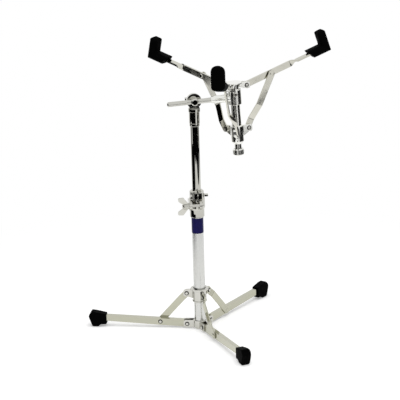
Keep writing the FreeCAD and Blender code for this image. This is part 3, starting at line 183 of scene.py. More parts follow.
class StandFinishes(bpy.types.PropertyGroup):
    """Colours of the finishes."""

    chrome: bpy.props.FloatVectorProperty(
        name="Chrome", description="Colour of the bright chrome",
        default=(0.56, 0.555, 0.515), subtype="COLOR", min=0, max=1)
    chrome_dull: bpy.props.FloatVectorProperty(
        name="Dulled chrome", description="Colour of handled, dulled chrome",
        default=(0.46, 0.45, 0.38), subtype="COLOR", min=0, max=1)
    # Leg and arm chrome are darker and lighter copies of one chrome: painted shade on the legs and braces for the
    # darker floor that they reflect, and painted light on the arms and struts.
    leg: bpy.props.FloatVectorProperty(
        name="Leg chrome", description="Colour of the chrome on legs and braces",
        default=(0.47, 0.468, 0.375), subtype="COLOR", min=0, max=1)
    arm: bpy.props.FloatVectorProperty(
        name="Arm chrome", description="Colour of the chrome on arms and struts",
        default=(0.62, 0.61, 0.545), subtype="COLOR", min=0, max=1)
    soft: bpy.props.FloatVectorProperty(
        name="Soft chrome", description="Colour of the chrome on the basket's castings",
        default=(0.84, 0.84, 0.80), subtype="COLOR", min=0, max=1)
    satin: bpy.props.FloatVectorProperty(
        name="Satin tube", description="Colour of the satin lower tube",
        default=(0.62, 0.625, 0.61), subtype="COLOR", min=0, max=1)
    rubber: bpy.props.FloatVectorProperty(
        name="Rubber", description="Colour of the black rubber",
        default=(0.0006, 0.0006, 0.0006), subtype="COLOR", min=0, max=1)
    # Painted shade and grime: dark ring round the rim of each rivet head, where it sits on the plate.
    painted_shade_and_grime: bpy.props.FloatVectorProperty(
        name="Painted shade and grime", description="Colour of the grime round rivet heads",
        default=(0.012, 0.011, 0.009), subtype="COLOR", min=0, max=1)
    label: bpy.props.FloatVectorProperty(
        name="Label", description="Colour of the navy band",
        default=(0.0055, 0.0045, 0.06), subtype="COLOR", min=0, max=1)
    nylon: bpy.props.FloatVectorProperty(
        name="Nylon", description="Colour of the nylon liners",
        default=(0.02, 0.02, 0.02), subtype="COLOR", min=0, max=1)


class StudioSettings(bpy.types.PropertyGroup):
    """Camera, floor and lamps."""

    eye: bpy.props.FloatVectorProperty(
        name="Camera", description="Place of the camera",
        default=(-0.4795, -3.3903, 1.33415), subtype="TRANSLATION")
    target: bpy.props.FloatVectorProperty(
        name="Target", description="Point that the camera and the lamps face",
        default=(0.0, 0.0, 0.330), subtype="TRANSLATION")
    roll: bpy.props.FloatProperty(
        name="Roll", description="Turn of the camera about its line of sight",
        default=math.radians(1.71), subtype="ANGLE")
    lens: bpy.props.FloatProperty(
        name="Lens", description="Focal length in millimetres", default=149.0)
    shift_x: bpy.props.FloatProperty(
        name="Shift across", description="Sideways shift of the picture", default=0.0091)
    shift_y: bpy.props.FloatProperty(
        name="Shift up", description="Upward shift of the picture", default=-0.0393)
    floor: bpy.props.FloatVectorProperty(
        name="Floor", description="Colour of the floor",
        default=(0.9, 0.9, 0.9), subtype="COLOR", min=0, max=1)
    shadow_start: bpy.props.FloatProperty(
        name="Shadow", description="Distance at which the floor's shadow starts to fade",
        default=0.35, unit="LENGTH")
    shadow_end: bpy.props.FloatProperty(
        name="Shadow end", description="Distance past which the floor is plain white",
        default=0.9, unit="LENGTH")
    floor_reach: bpy.props.FloatProperty(
        name="Floor reach", description="Distance from the post to the floor's edge",
        default=8.0, unit="LENGTH")
    floor_glow: bpy.props.FloatProperty(
        name="Floor glow", description="Light of the floor's own, which keeps it pale", default=0.3)
    ambient: bpy.props.FloatProperty(
        name="Ambient", description="Level of the soft light from all round", default=0.45)
    top_place: bpy.props.FloatVectorProperty(
        name="Top lamp place", description="Place of the soft lamp overhead",
        default=(0.3, -0.5, 2.4), subtype="TRANSLATION")
    top_size: bpy.props.FloatProperty(
        name="Top lamp size", description="Side of the soft lamp overhead",
        default=2.2, unit="LENGTH")
    top_power: bpy.props.FloatProperty(
        name="Top lamp", description="Power of the soft lamp overhead", default=34.0)
    side_place: bpy.props.FloatVectorProperty(
        name="Side lamp place", description="Place of the soft lamp at the side",
        default=(-2.2, -1.2, 1.6), subtype="TRANSLATION")
    side_size: bpy.props.FloatProperty(
        name="Side lamp size", description="Side of the soft lamp at the side",
        default=1.2, unit="LENGTH")
    side_power: bpy.props.FloatProperty(
        name="Side lamp", description="Power of the soft lamp at the side", default=14.0)


# Mesh helpers
def new_object(name, mesh):
    """Link a mesh as an object at the origin."""
    made = bpy.data.objects.new(name, mesh)
    bpy.context.scene.collection.objects.link(made)
    return made


def plain_mesh(made):
    """Bake the modifiers of an object into its mesh and remove them."""
    graph = bpy.context.evaluated_depsgraph_get()
    graph.update()
    mesh = bpy.data.meshes.new_from_object(made.evaluated_get(graph))
    made.modifiers.clear()
    made.data = mesh
    return made


def smooth(made, angle):
    """Smooth shading with sharp edges past an angle, and normals led by the larger faces."""
    made.data.shade_smooth()
    made.data.set_sharp_from_angle(angle=angle)
    level = made.modifiers.new("normals", "WEIGHTED_NORMAL")
    level.keep_sharp = True
    return plain_mesh(made)


def mount(made, node, material):
    """Give a finished piece its material and body, in place of the CAD node that it stands for."""
    made.data.materials.clear()
    made.data.materials.append(material)
    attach(made, BODY_OF[node])
    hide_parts(node)


def node_points(node):
    """Corners of a CAD node."""
    return [vertex.co.copy() for vertex in frame["nodes"][node].data.vertices]


def joined_copy(node, weld):
    """Copy of a CAD node with its loose triangles joined and its flat faces made whole."""
    mesh = frame["nodes"][node].data.copy()
    shape = bmesh.new()
    shape.from_mesh(mesh)
    bmesh.ops.remove_doubles(shape, verts=shape.verts, dist=weld)
    bmesh.ops.dissolve_limit(shape, angle_limit=FLAT_ANGLE, verts=shape.verts, edges=shape.edges)
    shape.to_mesh(mesh)
    shape.free()
    normals = mesh.attributes.get("custom_normal")
    if normals:
        mesh.attributes.remove(normals)
    return new_object("dress_" + node, mesh)


def rounded_copy(node, width):
    """Copy of a CAD node with its sharp edges rounded."""
    sizes = bpy.context.scene.stand_sizes
    made = joined_copy(node, sizes.weld)
    rounding = made.modifiers.new("edges", "BEVEL")
    rounding.limit_method = "ANGLE"
    rounding.angle_limit = sizes.edge_angle
    rounding.width = width
    rounding.segments = EDGE_FACETS
    plain_mesh(made)
    return smooth(made, sizes.edge_angle)


def dress(nodes, width, finish):
    """Give CAD nodes rounded edges and a finish."""
    for node in nodes:
        mount(rounded_copy(node, width), node, finish_named(finish))


def turned_tube(node):
    """Upright tube on the post's axis with rounded cut ends, at a CAD tube's own size."""
    sizes = bpy.context.scene.stand_sizes
    low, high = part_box(node)
    outer = high.x
    inner = min(point.xy.length for point in node_points(node))
    lip = sizes.tube_lip
    profile = [(inner, low.z + lip), (inner + lip, low.z), (outer - lip, low.z), (outer, low.z + lip),
               (outer, high.z - lip), (outer - lip, high.z), (inner + lip, high.z), (inner, high.z - lip)]
    shape = bmesh.new()
    rings = []
    for side in range(sizes.tube_sides):
        angle = 2 * math.pi * side / sizes.tube_sides
        rings.append([shape.verts.new((radius * math.cos(angle), radius * math.sin(angle), height))
                      for radius, height in profile])
    for side, ring in enumerate(rings):
        after = rings[(side + 1) % len(rings)]
        for spot in range(len(profile)):
            follow = (spot + 1) % len(profile)
            shape.faces.new((ring[spot], after[spot], after[follow], ring[follow]))
    bmesh.ops.recalc_face_normals(shape, faces=shape.faces)
    mesh = bpy.data.meshes.new("dress_" + node)
    shape.to_mesh(mesh)
    shape.free()
    return smooth(new_object("dress_" + node, mesh), sizes.edge_angle)


def moulded_copy(node):
    """Copy of a rubber node, remeshed fine and softened as a moulding is."""
    sizes = bpy.context.scene.stand_sizes
    made = joined_copy(node, sizes.weld)
    grain = made.modifiers.new("grain", "REMESH")
    grain.mode = "VOXEL"
    grain.voxel_size = sizes.rubber_grain
    soften = made.modifiers.new("soften", "SMOOTH")
    soften.factor = SOFTENING
    soften.iterations = sizes.rubber_smoothing
    plain_mesh(made)
    made.data.shade_smooth()
    return made


# Material helpers
class Finish:
    """A material with a Principled shader, and short ways to wire noise into it."""

    def __init__(self, name):
        self.material = bpy.data.materials.new(name)
        self.material.use_nodes = True
        self.tree = self.material.node_tree
        self.shader = self.tree.nodes["Principled BSDF"]
        self.place = self.tree.nodes.new("ShaderNodeTexCoord")

    def set(self, **values):
        """Set sockets of the shader, with _ for a space in their names."""
        for name, value in values.items():
            self.shader.inputs[name.replace("_", " ")].default_value = value

    def noise(self, scale, detail, stretch=(1.0, 1.0, 1.0)):
        """Noise on the piece's own coordinates."""
        mapping = self.tree.nodes.new("ShaderNodeMapping")
        mapping.inputs["Scale"].default_value = stretch
        texture = self.tree.nodes.new("ShaderNodeTexNoise")
        texture.inputs["Scale"].default_value = scale
        texture.inputs["Detail"].default_value = detail
        self.tree.links.new(self.place.outputs["Object"], mapping.inputs["Vector"])
        self.tree.links.new(mapping.outputs["Vector"], texture.inputs["Vector"])
        return texture.outputs["Fac"]

    def attribute(self, name):
        """Value that the mesh stores under a name."""
        stored = self.tree.nodes.new("ShaderNodeAttribute")
        stored.attribute_name = name
        return stored.outputs["Fac"]

    def span(self, value, low, high, start=0.3, end=0.7):
        """Number from low to high as a value goes from start to end."""
        scale = self.tree.nodes.new("ShaderNodeMapRange")
        scale.inputs["From Min"].default_value = start
        scale.inputs["From Max"].default_value = end
        scale.inputs["To Min"].default_value = low
        scale.inputs["To Max"].default_value = high
        self.tree.links.new(value, scale.inputs["Value"])
        return scale.outputs["Result"]

    def blend(self, value, first, second, start, end):
        """Colour from first to second as a value goes from start to end."""
        ramp = self.tree.nodes.new("ShaderNodeValToRGB")
        ramp.color_ramp.elements[0].position = start
        ramp.color_ramp.elements[1].position = end
        ramp.color_ramp.elements[0].color = (*first, 1)
        ramp.color_ramp.elements[1].color = (*second, 1)
        self.tree.links.new(value, ramp.inputs["Fac"])
        return ramp.outputs["Color"]

    def painted_crevice_shade(self, colour):
        """Darken a colour with painted shade in the piece's own corners and slots."""
        # Painted shade: ambient occlusion within the piece darkens its base colour in corners and slots.
        shelter = self.tree.nodes.new("ShaderNodeAmbientOcclusion")
        shelter.samples = CREVICE_RAYS
        shelter.only_local = True
        shelter.inputs["Distance"].default_value = CREVICE_REACH
        unshaded_share = self.span(shelter.outputs["AO"], CREVICE_SHADE, 1.0, CREVICE_FULL, CREVICE_GONE)
        shaded_colour = self.tree.nodes.new("ShaderNodeVectorMath")
        shaded_colour.operation = "SCALE"
        self.tree.links.new(colour, shaded_colour.inputs["Vector"])
        self.tree.links.new(unshaded_share, shaded_colour.inputs["Scale"])
        return shaded_colour.outputs["Vector"]

    def bump(self, value, strength, distance):
        """Raise the surface by a value."""
        bump = self.tree.nodes.new("ShaderNodeBump")
        bump.inputs["Strength"].default_value = strength
        bump.inputs["Distance"].default_value = distance
        self.tree.links.new(value, bump.inputs["Height"])
        self.tree.links.new(bump.outputs["Normal"], self.shader.inputs["Normal"])

    def wire(self, value, name):
        """Link a value to a socket of the shader."""
        self.tree.links.new(value, self.shader.inputs[name])


def finish_named(name):
    """The finish of that name, made on first use."""
    known = bpy.data.materials.get(name)
    return known if known else FINISHES[name]().material


def paler(colour, times):
    """A colour that many times as light."""
    return tuple(channel * times for channel in colour)


def bright_chrome():
    """Bright chrome plate with faint hand marks and a fine waviness."""
    colours = bpy.context.scene.stand_finishes
    made = Finish("bright chrome")
    made.set(Metallic=1.0)
    marks = made.noise(scale=14.0, detail=5.0)
    plate = made.blend(marks, colours.chrome, colours.chrome_dull, start=0.45, end=0.85)
    # Base colour with painted shade in the piece's own corners and slots.
    made.wire(made.painted_crevice_shade(plate), "Base Color")
    made.wire(made.span(made.noise(scale=55.0, detail=6.0), low=0.01, high=0.035), "Roughness")
    made.bump(made.noise(scale=60.0, detail=2.0), strength=0.004, distance=0.0004)
    return made


def rivet_chrome():
    """Chrome of a rivet, with a dark ring of painted shade and grime round the rim of its head, where it sits on
    the plate.
    """
    colours = bpy.context.scene.stand_finishes
    made = Finish("rivet chrome")
    made.set(Metallic=1.0)
    rim = made.attribute("rim")
    # Painted shade and grime: the head turns dark towards its rim.
    made.wire(made.blend(rim, colours.chrome, colours.painted_shade_and_grime, start=0.5, end=0.72), "Base Color")
    made.wire(made.span(rim, low=0.06, high=0.5, start=0.5, end=0.9), "Roughness")
    return made


def soft_chrome():
    """Chrome on the castings and the knob of the basket, with a softer gloss."""
    colours = bpy.context.scene.stand_finishes
    made = Finish("soft chrome")
    made.set(Metallic=1.0)
    marks = made.noise(scale=16.0, detail=5.0)
    plate = made.blend(marks, colours.soft, colours.chrome, start=0.5, end=1.0)
    # Base colour with painted shade in the piece's own corners and slots.
    made.wire(made.painted_crevice_shade(plate), "Base Color")
    made.wire(made.span(made.noise(scale=60.0, detail=6.0), low=0.08, high=0.15), "Roughness")
    made.bump(made.noise(scale=40.0, detail=2.0), strength=0.004, distance=0.0004)
    return made


def pressed_chrome(name, colour):
    """Chrome on pressed straps and channels, a little less even than on turned pieces."""
    colours = bpy.context.scene.stand_finishes
    made = Finish(name)
    made.set(Metallic=1.0)
    marks = made.noise(scale=9.0, detail=5.0)
    plate = made.blend(marks, colour, colours.chrome_dull, start=0.4, end=0.9)
    # Base colour with painted shade in the piece's own corners and slots.
    made.wire(made.painted_crevice_shade(plate), "Base Color")
    made.wire(made.span(made.noise(scale=40.0, detail=6.0), low=0.04, high=0.12), "Roughness")
    made.bump(made.noise(scale=35.0, detail=2.0), strength=0.02, distance=0.0006)
    return made


def shaded_leg_chrome():
    """Chrome on the legs and braces, painted darker than on the basket as painted shade for the darker floor that
    they reflect.
    """
    return pressed_chrome("leg chrome", bpy.context.scene.stand_finishes.leg)


def lit_arm_chrome():
    """Chrome on the arms and struts of the basket, a lighter copy of the legs' chrome as painted light."""
    return pressed_chrome("arm chrome", bpy.context.scene.stand_finishes.arm)


def satin_tube():
    """Satin tube with fine draw lines along its length."""
    colours = bpy.context.scene.stand_finishes
    made = Finish("satin tube")
    made.set(Metallic=1.0)
    lines = made.noise(scale=420.0, detail=4.0, stretch=(1.0, 1.0, 0.02))
    marks = made.noise(scale=7.0, detail=4.0)
    made.wire(made.blend(marks, colours.satin, colours.chrome, start=0.35, end=0.8), "Base Color")
    made.wire(made.span(lines, low=0.22, high=0.28), "Roughness")
    made.bump(lines, strength=0.015, distance=0.0002)
    return made


def black_rubber():
    """Moulded black rubber with a fine grain and a trace of dust."""
    colours = bpy.context.scene.stand_finishes
    made = Finish("black rubber")
    made.set(Specular_IOR_Level=0.02)
    marks = made.noise(scale=38.0, detail=8.0)
    dust = paler(colours.rubber, times=1.8)
    made.wire(made.blend(marks, colours.rubber, dust, start=0.5, end=0.8), "Base Color")
    made.wire(made.span(made.noise(scale=90.0, detail=5.0), low=0.55, high=0.75), "Roughness")
    made.bump(made.noise(scale=1400.0, detail=2.0), strength=0.25, distance=0.0002)
    return made


def navy_band():
    """Navy foil of the bare label band."""
    colours = bpy.context.scene.stand_finishes
    made = Finish("navy band")
    made.set(Specular_IOR_Level=0.1)
    marks = made.noise(scale=160.0, detail=4.0)
    lighter = paler(colours.label, times=1.5)
    made.wire(made.blend(marks, colours.label, lighter, start=0.4, end=0.9), "Base Color")
    made.wire(made.span(made.noise(scale=60.0, detail=3.0), low=0.25, high=0.4), "Roughness")
    made.bump(made.noise(scale=500.0, detail=2.0), strength=0.05, distance=0.0002)
    return made


def black_nylon():
    """Matt nylon of the liners."""
    colours = bpy.context.scene.stand_finishes
    made = Finish("black nylon")
    marks = made.noise(scale=80.0, detail=4.0)
    worn = paler(colours.nylon, times=1.8)
    made.wire(made.blend(marks, colours.nylon, worn, start=0.35, end=0.75), "Base Color")
    made.wire(made.span(made.noise(scale=200.0, detail=3.0), low=0.4, high=0.55), "Roughness")
    made.bump(made.noise(scale=700.0, detail=2.0), strength=0.1, distance=0.0002)
    return made


FINISHES = {
    "bright chrome": bright_chrome,
    "rivet chrome": rivet_chrome,
    "soft chrome": soft_chrome,
    "leg chrome": shaded_leg_chrome,
    "arm chrome": lit_arm_chrome,
    "satin tube": satin_tube,
    "black rubber": black_rubber,
    "navy band": navy_band,
    "black nylon": black_nylon,
}


# Geometry Nodes
class Tree:
    """A Geometry Nodes tree with named inputs, wired in few words."""

    def __init__(self, name, inputs):
        self.tree = bpy.data.node_groups.new(name, "GeometryNodeTree")
        self.tree.interface.new_socket("Geometry", in_out="INPUT", socket_type="NodeSocketGeometry")
        self.sockets = {}
        for label, kind in inputs:
            self.sockets[label] = self.tree.interface.new_socket(label, in_out="INPUT", socket_type=kind)
        self.tree.interface.new_socket("Geometry", in_out="OUTPUT", socket_type="NodeSocketGeometry")
        self.enter = self.tree.nodes.new("NodeGroupInput")
        self.leave = self.tree.nodes.new("NodeGroupOutput")

    def node(self, kind, settings=None, **inputs):
        """Node with its settings and inputs, with _ for a space in an input's name."""
        made = self.tree.nodes.new(kind)
        for name, value in (settings or {}).items():
            setattr(made, name, value)
        for name, value in inputs.items():
            self.feed(made.inputs[name.replace("_", " ")], value)
        return made

    def feed(self, socket, value):
        """Link a socket to another, or set it to a plain value."""
        if isinstance(value, bpy.types.NodeSocket):
            self.tree.links.new(value, socket)
        else:
            socket.default_value = value

    def math(self, operation, first, second=0.0):
        """Result of one sum."""
        made = self.tree.nodes.new("ShaderNodeMath")
        made.operation = operation
        self.feed(made.inputs[0], first)
        self.feed(made.inputs[1], second)
        return made.outputs[0]

    def given(self, label):
        """Input of the tree."""
        return self.enter.outputs[label]

    def end(self, geometry):
        """Make instances real, set the material and hand the geometry out."""
        realized = self.node("GeometryNodeRealizeInstances", Geometry=geometry)
        painted = self.node("GeometryNodeSetMaterial", Geometry=realized.outputs["Geometry"],
                            Material=self.given("Material"))
        self.tree.links.new(painted.outputs["Geometry"], self.leave.inputs["Geometry"])

    def run(self, made, values):
        """Run the tree on an object and keep the result as its plain mesh."""
        modifier = made.modifiers.new(self.tree.name, "NODES")
        modifier.node_group = self.tree
        for label, value in values.items():
            modifier[self.sockets[label].identifier] = value
        return plain_mesh(made)


def rivet_tree():
    """Rivets along the edges of a mesh: a shank on each edge and a domed head at each marked end."""
    tree = Tree("domed rivets", [("Sides", "NodeSocketInt"), ("Shank Radius", "NodeSocketFloat"),
                                 ("Head Radius", "NodeSocketFloat"), ("Head Height", "NodeSocketFloat"),
                                 ("Material", "NodeSocketMaterial")])
    edges = tree.given("Geometry")
    line = tree.node("GeometryNodeMeshToCurve", Mesh=edges)
    ring = tree.node("GeometryNodeCurvePrimitiveCircle", Resolution=tree.given("Sides"),
                     Radius=tree.given("Shank Radius"))
    shank = tree.node("GeometryNodeCurveToMesh", Curve=line.outputs["Curve"], Fill_Caps=True)
    tree.tree.links.new(ring.outputs["Curve"], shank.inputs["Profile Curve"])
    cone = tree.node("GeometryNodeMeshCone", Vertices=tree.given("Sides"), Side_Segments=DOME_RINGS,
                     Radius_Top=0.0, Radius_Bottom=tree.given("Head Radius"), Depth=tree.given("Head Height"))
    place = tree.node("GeometryNodeInputPosition")
    split = tree.node("ShaderNodeSeparateXYZ", Vector=place.outputs["Position"])
    across = tree.math("SQRT", tree.math("ADD", tree.math("POWER", split.outputs["X"], 2.0),
                                         tree.math("POWER", split.outputs["Y"], 2.0)))
    share = tree.math("DIVIDE", across, tree.given("Head Radius"))
    swell = tree.math("SUBTRACT", 1.0, tree.math("POWER", share, DOME_POWER))
    height = tree.math("MULTIPLY", tree.given("Head Height"), tree.math("MAXIMUM", swell, 0.0))
    spot = tree.node("ShaderNodeCombineXYZ", X=split.outputs["X"], Y=split.outputs["Y"], Z=height)
    dome = tree.node("GeometryNodeSetPosition", Geometry=cone.outputs["Mesh"],
                     Position=spot.outputs["Vector"])
    # Share of the head's radius, which the rivet chrome reads to paint its rim with painted shade and grime.
    head = tree.node("GeometryNodeStoreNamedAttribute", {"data_type": "FLOAT", "domain": "POINT"},
                     Geometry=dome.outputs["Geometry"], Name="rim", Value=share)
    way = tree.node("GeometryNodeInputNamedAttribute", {"data_type": "FLOAT_VECTOR"}, Name="out")
    headed = tree.node("GeometryNodeInputNamedAttribute", {"data_type": "BOOLEAN"}, Name="headed")
    facing = tree.node("FunctionNodeAlignRotationToVector", {"axis": "Z"}, Vector=way.outputs["Attribute"])
    heads = tree.node("GeometryNodeInstanceOnPoints", Points=edges, Selection=headed.outputs["Attribute"],
                      Instance=head.outputs["Geometry"], Rotation=facing.outputs["Rotation"])
    both = tree.tree.nodes.new("GeometryNodeJoinGeometry")
    tree.tree.links.new(shank.outputs["Mesh"], both.inputs["Geometry"])
    tree.tree.links.new(heads.outputs["Instances"], both.inputs["Geometry"])
    tree.end(both.outputs["Geometry"])
    return tree


def pivot_rivets(node):
    """Pivot, axis and corners of each rivet of a CAD node with a rivet at each of several joints."""
    points = node_points(node)
    reach = bpy.context.scene.stand_sizes.rivet_reach
    for name in RIVET_JOINTS[node]:
        pivot = Vector(JOINTS[name]["pos_m"])
        axis = Vector(JOINTS[name]["axis"]).normalized()
        yield pivot, axis, [point for point in points if (point - pivot).length < reach]


def loose_rivet(node):
    """Pivot, axis and corners of a CAD node that is one level rivet, on the middle of its own width."""
    points = node_points(node)
    axis = Vector(JOINTS[LOOSE_RIVETS[node]]["axis"]).normalized()
    upward = Vector((0, 0, 1))
    pivot = Vector()
    for way in (axis.cross(upward), upward):
        spans = [point.dot(way) for point in points]
        pivot += way * (min(spans) + max(spans)) / 2
    yield pivot, axis, points


def rivet_edges(node, rivets):
    """Mesh of one edge for each rivet. Each end has its outward way and a mark where the solid has a head."""
    sizes = bpy.context.scene.stand_sizes
    head_zone = sizes.rivet_head * RIVET_SLACK
    widest_shank = sizes.rivet_shank_radius * RIVET_SLACK
    ends = []
    ways = []
    marks = []
    pairs = []
    for pivot, axis, points in rivets:
        pairs.append((len(ends), len(ends) + 1))
        for way in (-axis, axis):
            tip = max((point - pivot).dot(way) for point in points)
            crown = [point - pivot for point in points if (point - pivot).dot(way) > tip - head_zone]
            wide = max((spot - way * spot.dot(way)).length for spot in crown) > widest_shank
            ends.append(pivot + way * (tip - sizes.rivet_head * wide))
            ways.append(way)
            marks.append(wide)
    mesh = bpy.data.meshes.new("dress_" + node)
    mesh.from_pydata(ends, pairs, [])
    outward = mesh.attributes.new("out", "FLOAT_VECTOR", "POINT")
    headed = mesh.attributes.new("headed", "BOOLEAN", "POINT")
    for spot, way in zip(outward.data, ways):
        spot.vector = way
    for spot, mark in zip(headed.data, marks):
        spot.value = mark
    return mesh


class STAND_OT_tubes(bpy.types.Operator):
    """Dress the tubes of the post and the rods"""

    bl_idname = "stand.tubes"
    bl_label = "Dress tubes"

    def execute(self, context):
        for node, finish in TUBES.items():
            mount(turned_tube(node), node, finish_named(finish))
        dress(BRIGHT_RODS, context.scene.stand_sizes.bolt_edge, "bright chrome")
        return {"FINISHED"}


class STAND_OT_castings(bpy.types.Operator):
    """Dress the cast hubs, collars, clamps and wing nuts"""

    bl_idname = "stand.castings"
    bl_label = "Dress castings"

    def execute(self, context):
        sizes = context.scene.stand_sizes
        dress(CASTINGS + WINGED, sizes.casting_edge, "bright chrome")
        dress(SOFT_CASTINGS, sizes.casting_edge, "soft chrome")
        return {"FINISHED"}


class STAND_OT_straps(bpy.types.Operator):
    """Dress the legs, braces, arms and struts"""

    bl_idname = "stand.straps"
    bl_label = "Dress straps"

    def execute(self, context):
        sizes = context.scene.stand_sizes
        for piece in ("leg_", "brace_"):
            dress([piece + leg for leg in LEGS], sizes.strap_edge, "leg chrome")
        for piece in ("arm_", "strut_"):
            dress([piece + arm for arm in ARMS], sizes.strap_edge, "arm chrome")
        return {"FINISHED"}


class STAND_OT_rubber(bpy.types.Operator):
    """Dress the rubber feet and sleeves"""

    bl_idname = "stand.rubber"
    bl_label = "Dress rubber"

    def execute(self, context):
        for node in ["foot_" + leg for leg in LEGS] + ["sleeve_" + arm for arm in ARMS]:
            mount(moulded_copy(node), node, finish_named("black rubber"))
        return {"FINISHED"}


class STAND_OT_fasteners(bpy.types.Operator):
    """Dress the rivets, bolts and washers"""

    bl_idname = "stand.fasteners"
    bl_label = "Dress fasteners"

    def execute(self, context):
        sizes = context.scene.stand_sizes
        tree = rivet_tree()
        chrome = finish_named("rivet chrome")
        rivets = {node: pivot_rivets(node) for node in RIVET_JOINTS}
        rivets.update({node: loose_rivet(node) for node in LOOSE_RIVETS})
        for node, found in rivets.items():
            made = new_object("dress_" + node, rivet_edges(node, found))
            tree.run(made, {"Sides": sizes.rivet_sides, "Shank Radius": sizes.rivet_shank_radius,
                            "Head Radius": sizes.rivet_head_radius, "Head Height": sizes.rivet_head,
                            "Material": chrome})
            mount(smooth(made, sizes.edge_angle), node, chrome)
        dress(BOLTS, sizes.bolt_edge, "bright chrome")
        dress(["arm_rivet_" + arm for arm in ARMS], sizes.bolt_edge, "bright chrome")
        return {"FINISHED"}


class STAND_OT_knob(bpy.types.Operator):
    """Dress the adjusting knob"""

    bl_idname = "stand.knob"
    bl_label = "Dress knob"

    def execute(self, context):
        dress(["adjusting_knob"], context.scene.stand_sizes.bolt_edge, "soft chrome")
        return {"FINISHED"}


class STAND_OT_label(bpy.types.Operator):
    """Dress the navy band and the nylon liners"""

    bl_idname = "stand.label"
    bl_label = "Dress band and liners"

    def execute(self, context):
        sizes = context.scene.stand_sizes
        dress(["label_band"], sizes.label_edge, "navy band")
        dress(LINERS, sizes.bolt_edge, "black nylon")
        return {"FINISHED"}


# Studio
def pale_unless_diffuse(tree, seen, lit):
    """Mix two shaders: what camera, glossy and see-through rays meet, and what lights the object."""
    path = tree.nodes.new("ShaderNodeLightPath")
    total = path.outputs["Is Camera Ray"]
    for name in ("Is Glossy Ray", "Is Transmission Ray"):
        most = tree.nodes.new("ShaderNodeMath")
        most.operation = "MAXIMUM"
        tree.links.new(total, most.inputs[0])
        tree.links.new(path.outputs[name], most.inputs[1])
        total = most.outputs[0]
    mix = tree.nodes.new("ShaderNodeMixShader")
    tree.links.new(total, mix.inputs["Fac"])
    tree.links.new(lit, mix.inputs[1])
    tree.links.new(seen, mix.inputs[2])
    return mix.outputs["Shader"]


def white_world(ambient):
    """World that looks white and gives a level soft light."""
    world = bpy.data.worlds.new("white studio")
    world.use_nodes = True
    tree = world.node_tree
    seen = tree.nodes["Background"]
    lit = tree.nodes.new("ShaderNodeBackground")
    for light, strength in ((seen, 1.0), (lit, ambient)):
        light.inputs["Color"].default_value = WHITE
        light.inputs["Strength"].default_value = strength
    shown = pale_unless_diffuse(tree, seen.outputs["Background"], lit.outputs["Background"])
    tree.links.new(shown, tree.nodes["World Output"].inputs["Surface"])
    bpy.context.scene.world = world


def stage_piece(name, corners, faces, material):
    """Stage piece from its corners and faces."""
    mesh = bpy.data.meshes.new(name)
    mesh.from_pydata(corners, [], faces)
    made = new_object(name, mesh)
    made.data.materials.append(material)
    return made


def pale_floor(studio):
    """Floor paint that keeps the shadow near the stand and fades into the white backdrop further out."""
    material = bpy.data.materials.new("pale floor")
    material.use_nodes = True
    tree = material.node_tree
    shader = tree.nodes["Principled BSDF"]
    shader.inputs["Base Color"].default_value = (*studio.floor, 1)
    shader.inputs["Roughness"].default_value = FLOOR_ROUGHNESS
    shader.inputs["Specular IOR Level"].default_value = 0.0
    shader.inputs["Emission Color"].default_value = WHITE
    shader.inputs["Emission Strength"].default_value = studio.floor_glow
    white = tree.nodes.new("ShaderNodeEmission")
    place = tree.nodes.new("ShaderNodeTexCoord")
    away = tree.nodes.new("ShaderNodeVectorMath")
    away.operation = "LENGTH"
    fade = tree.nodes.new("ShaderNodeMapRange")
    fade.interpolation_type = "SMOOTHSTEP"
    fade.inputs["From Min"].default_value = studio.shadow_start
    fade.inputs["From Max"].default_value = studio.shadow_end
    mix = tree.nodes.new("ShaderNodeMixShader")
    tree.links.new(place.outputs["Object"], away.inputs[0])
    tree.links.new(away.outputs["Value"], fade.inputs["Value"])
    tree.links.new(fade.outputs["Result"], mix.inputs["Fac"])
    tree.links.new(shader.outputs["BSDF"], mix.inputs[1])
    tree.links.new(white.outputs["Emission"], mix.inputs[2])
    tree.links.new(mix.outputs["Shader"], tree.nodes["Material Output"].inputs["Surface"])
    return material


def dark_room():
    """Paint of the dark cards and the dark wall."""
    material = bpy.data.materials.new("dark room")
    material.use_nodes = True
    shader = material.node_tree.nodes["Principled BSDF"]
    shader.inputs["Base Color"].default_value = DARK_PAINT
    shader.inputs["Specular IOR Level"].default_value = 0.0
    return material


def paper_edge(angle):
    """Distance from the post to the edge of the paper at an azimuth."""
    turns = [(math.cos(angle - math.radians(facing)), reach) for facing, reach in PAPER_EDGES]
    return min(reach / turn for turn, reach in turns if turn > 0)


def dark_sector(name, start, end, nearest, far, height, material):
    """Dark card between two azimuths in degrees, turned up at its far edge, that only reflections see."""
    steps = math.ceil((end - start) / CARD_STEP)
    angles = [math.radians(start + (end - start) * step / steps) for step in range(steps + 1)]
    wide = len(angles)
    near = [nearest or paper_edge(angle) for angle in angles]
    beyond = [far] * wide
    rows = ((near, CARD_LIFT), (beyond, CARD_LIFT), (beyond, height))
    corners = []
    for reaches, level in rows:
        for reach, angle in zip(reaches, angles):
            corners.append((reach * math.cos(angle), reach * math.sin(angle), level))
    faces = [(row * wide + step, row * wide + step + 1, (row + 1) * wide + step + 1, (row + 1) * wide + step)
             for row in range(len(rows) - 1) for step in range(steps)]
    made = stage_piece(name, corners, faces, material)
    made.visible_camera = False
    made.visible_diffuse = False
    made.visible_shadow = False
    made.visible_transmission = False


def soft_lamp(name, place, target, size, power):
    """Square soft lamp that faces a point and is not seen in reflections."""
    data = bpy.data.lights.new(name, "AREA")
    data.size = size
    data.energy = power
    lamp = bpy.data.objects.new(name, data)
    lamp.location = place
    lamp.rotation_euler = (Vector(target) - Vector(place)).to_track_quat("-Z", "Y").to_euler()
    lamp.visible_glossy = False
    bpy.context.scene.collection.objects.link(lamp)


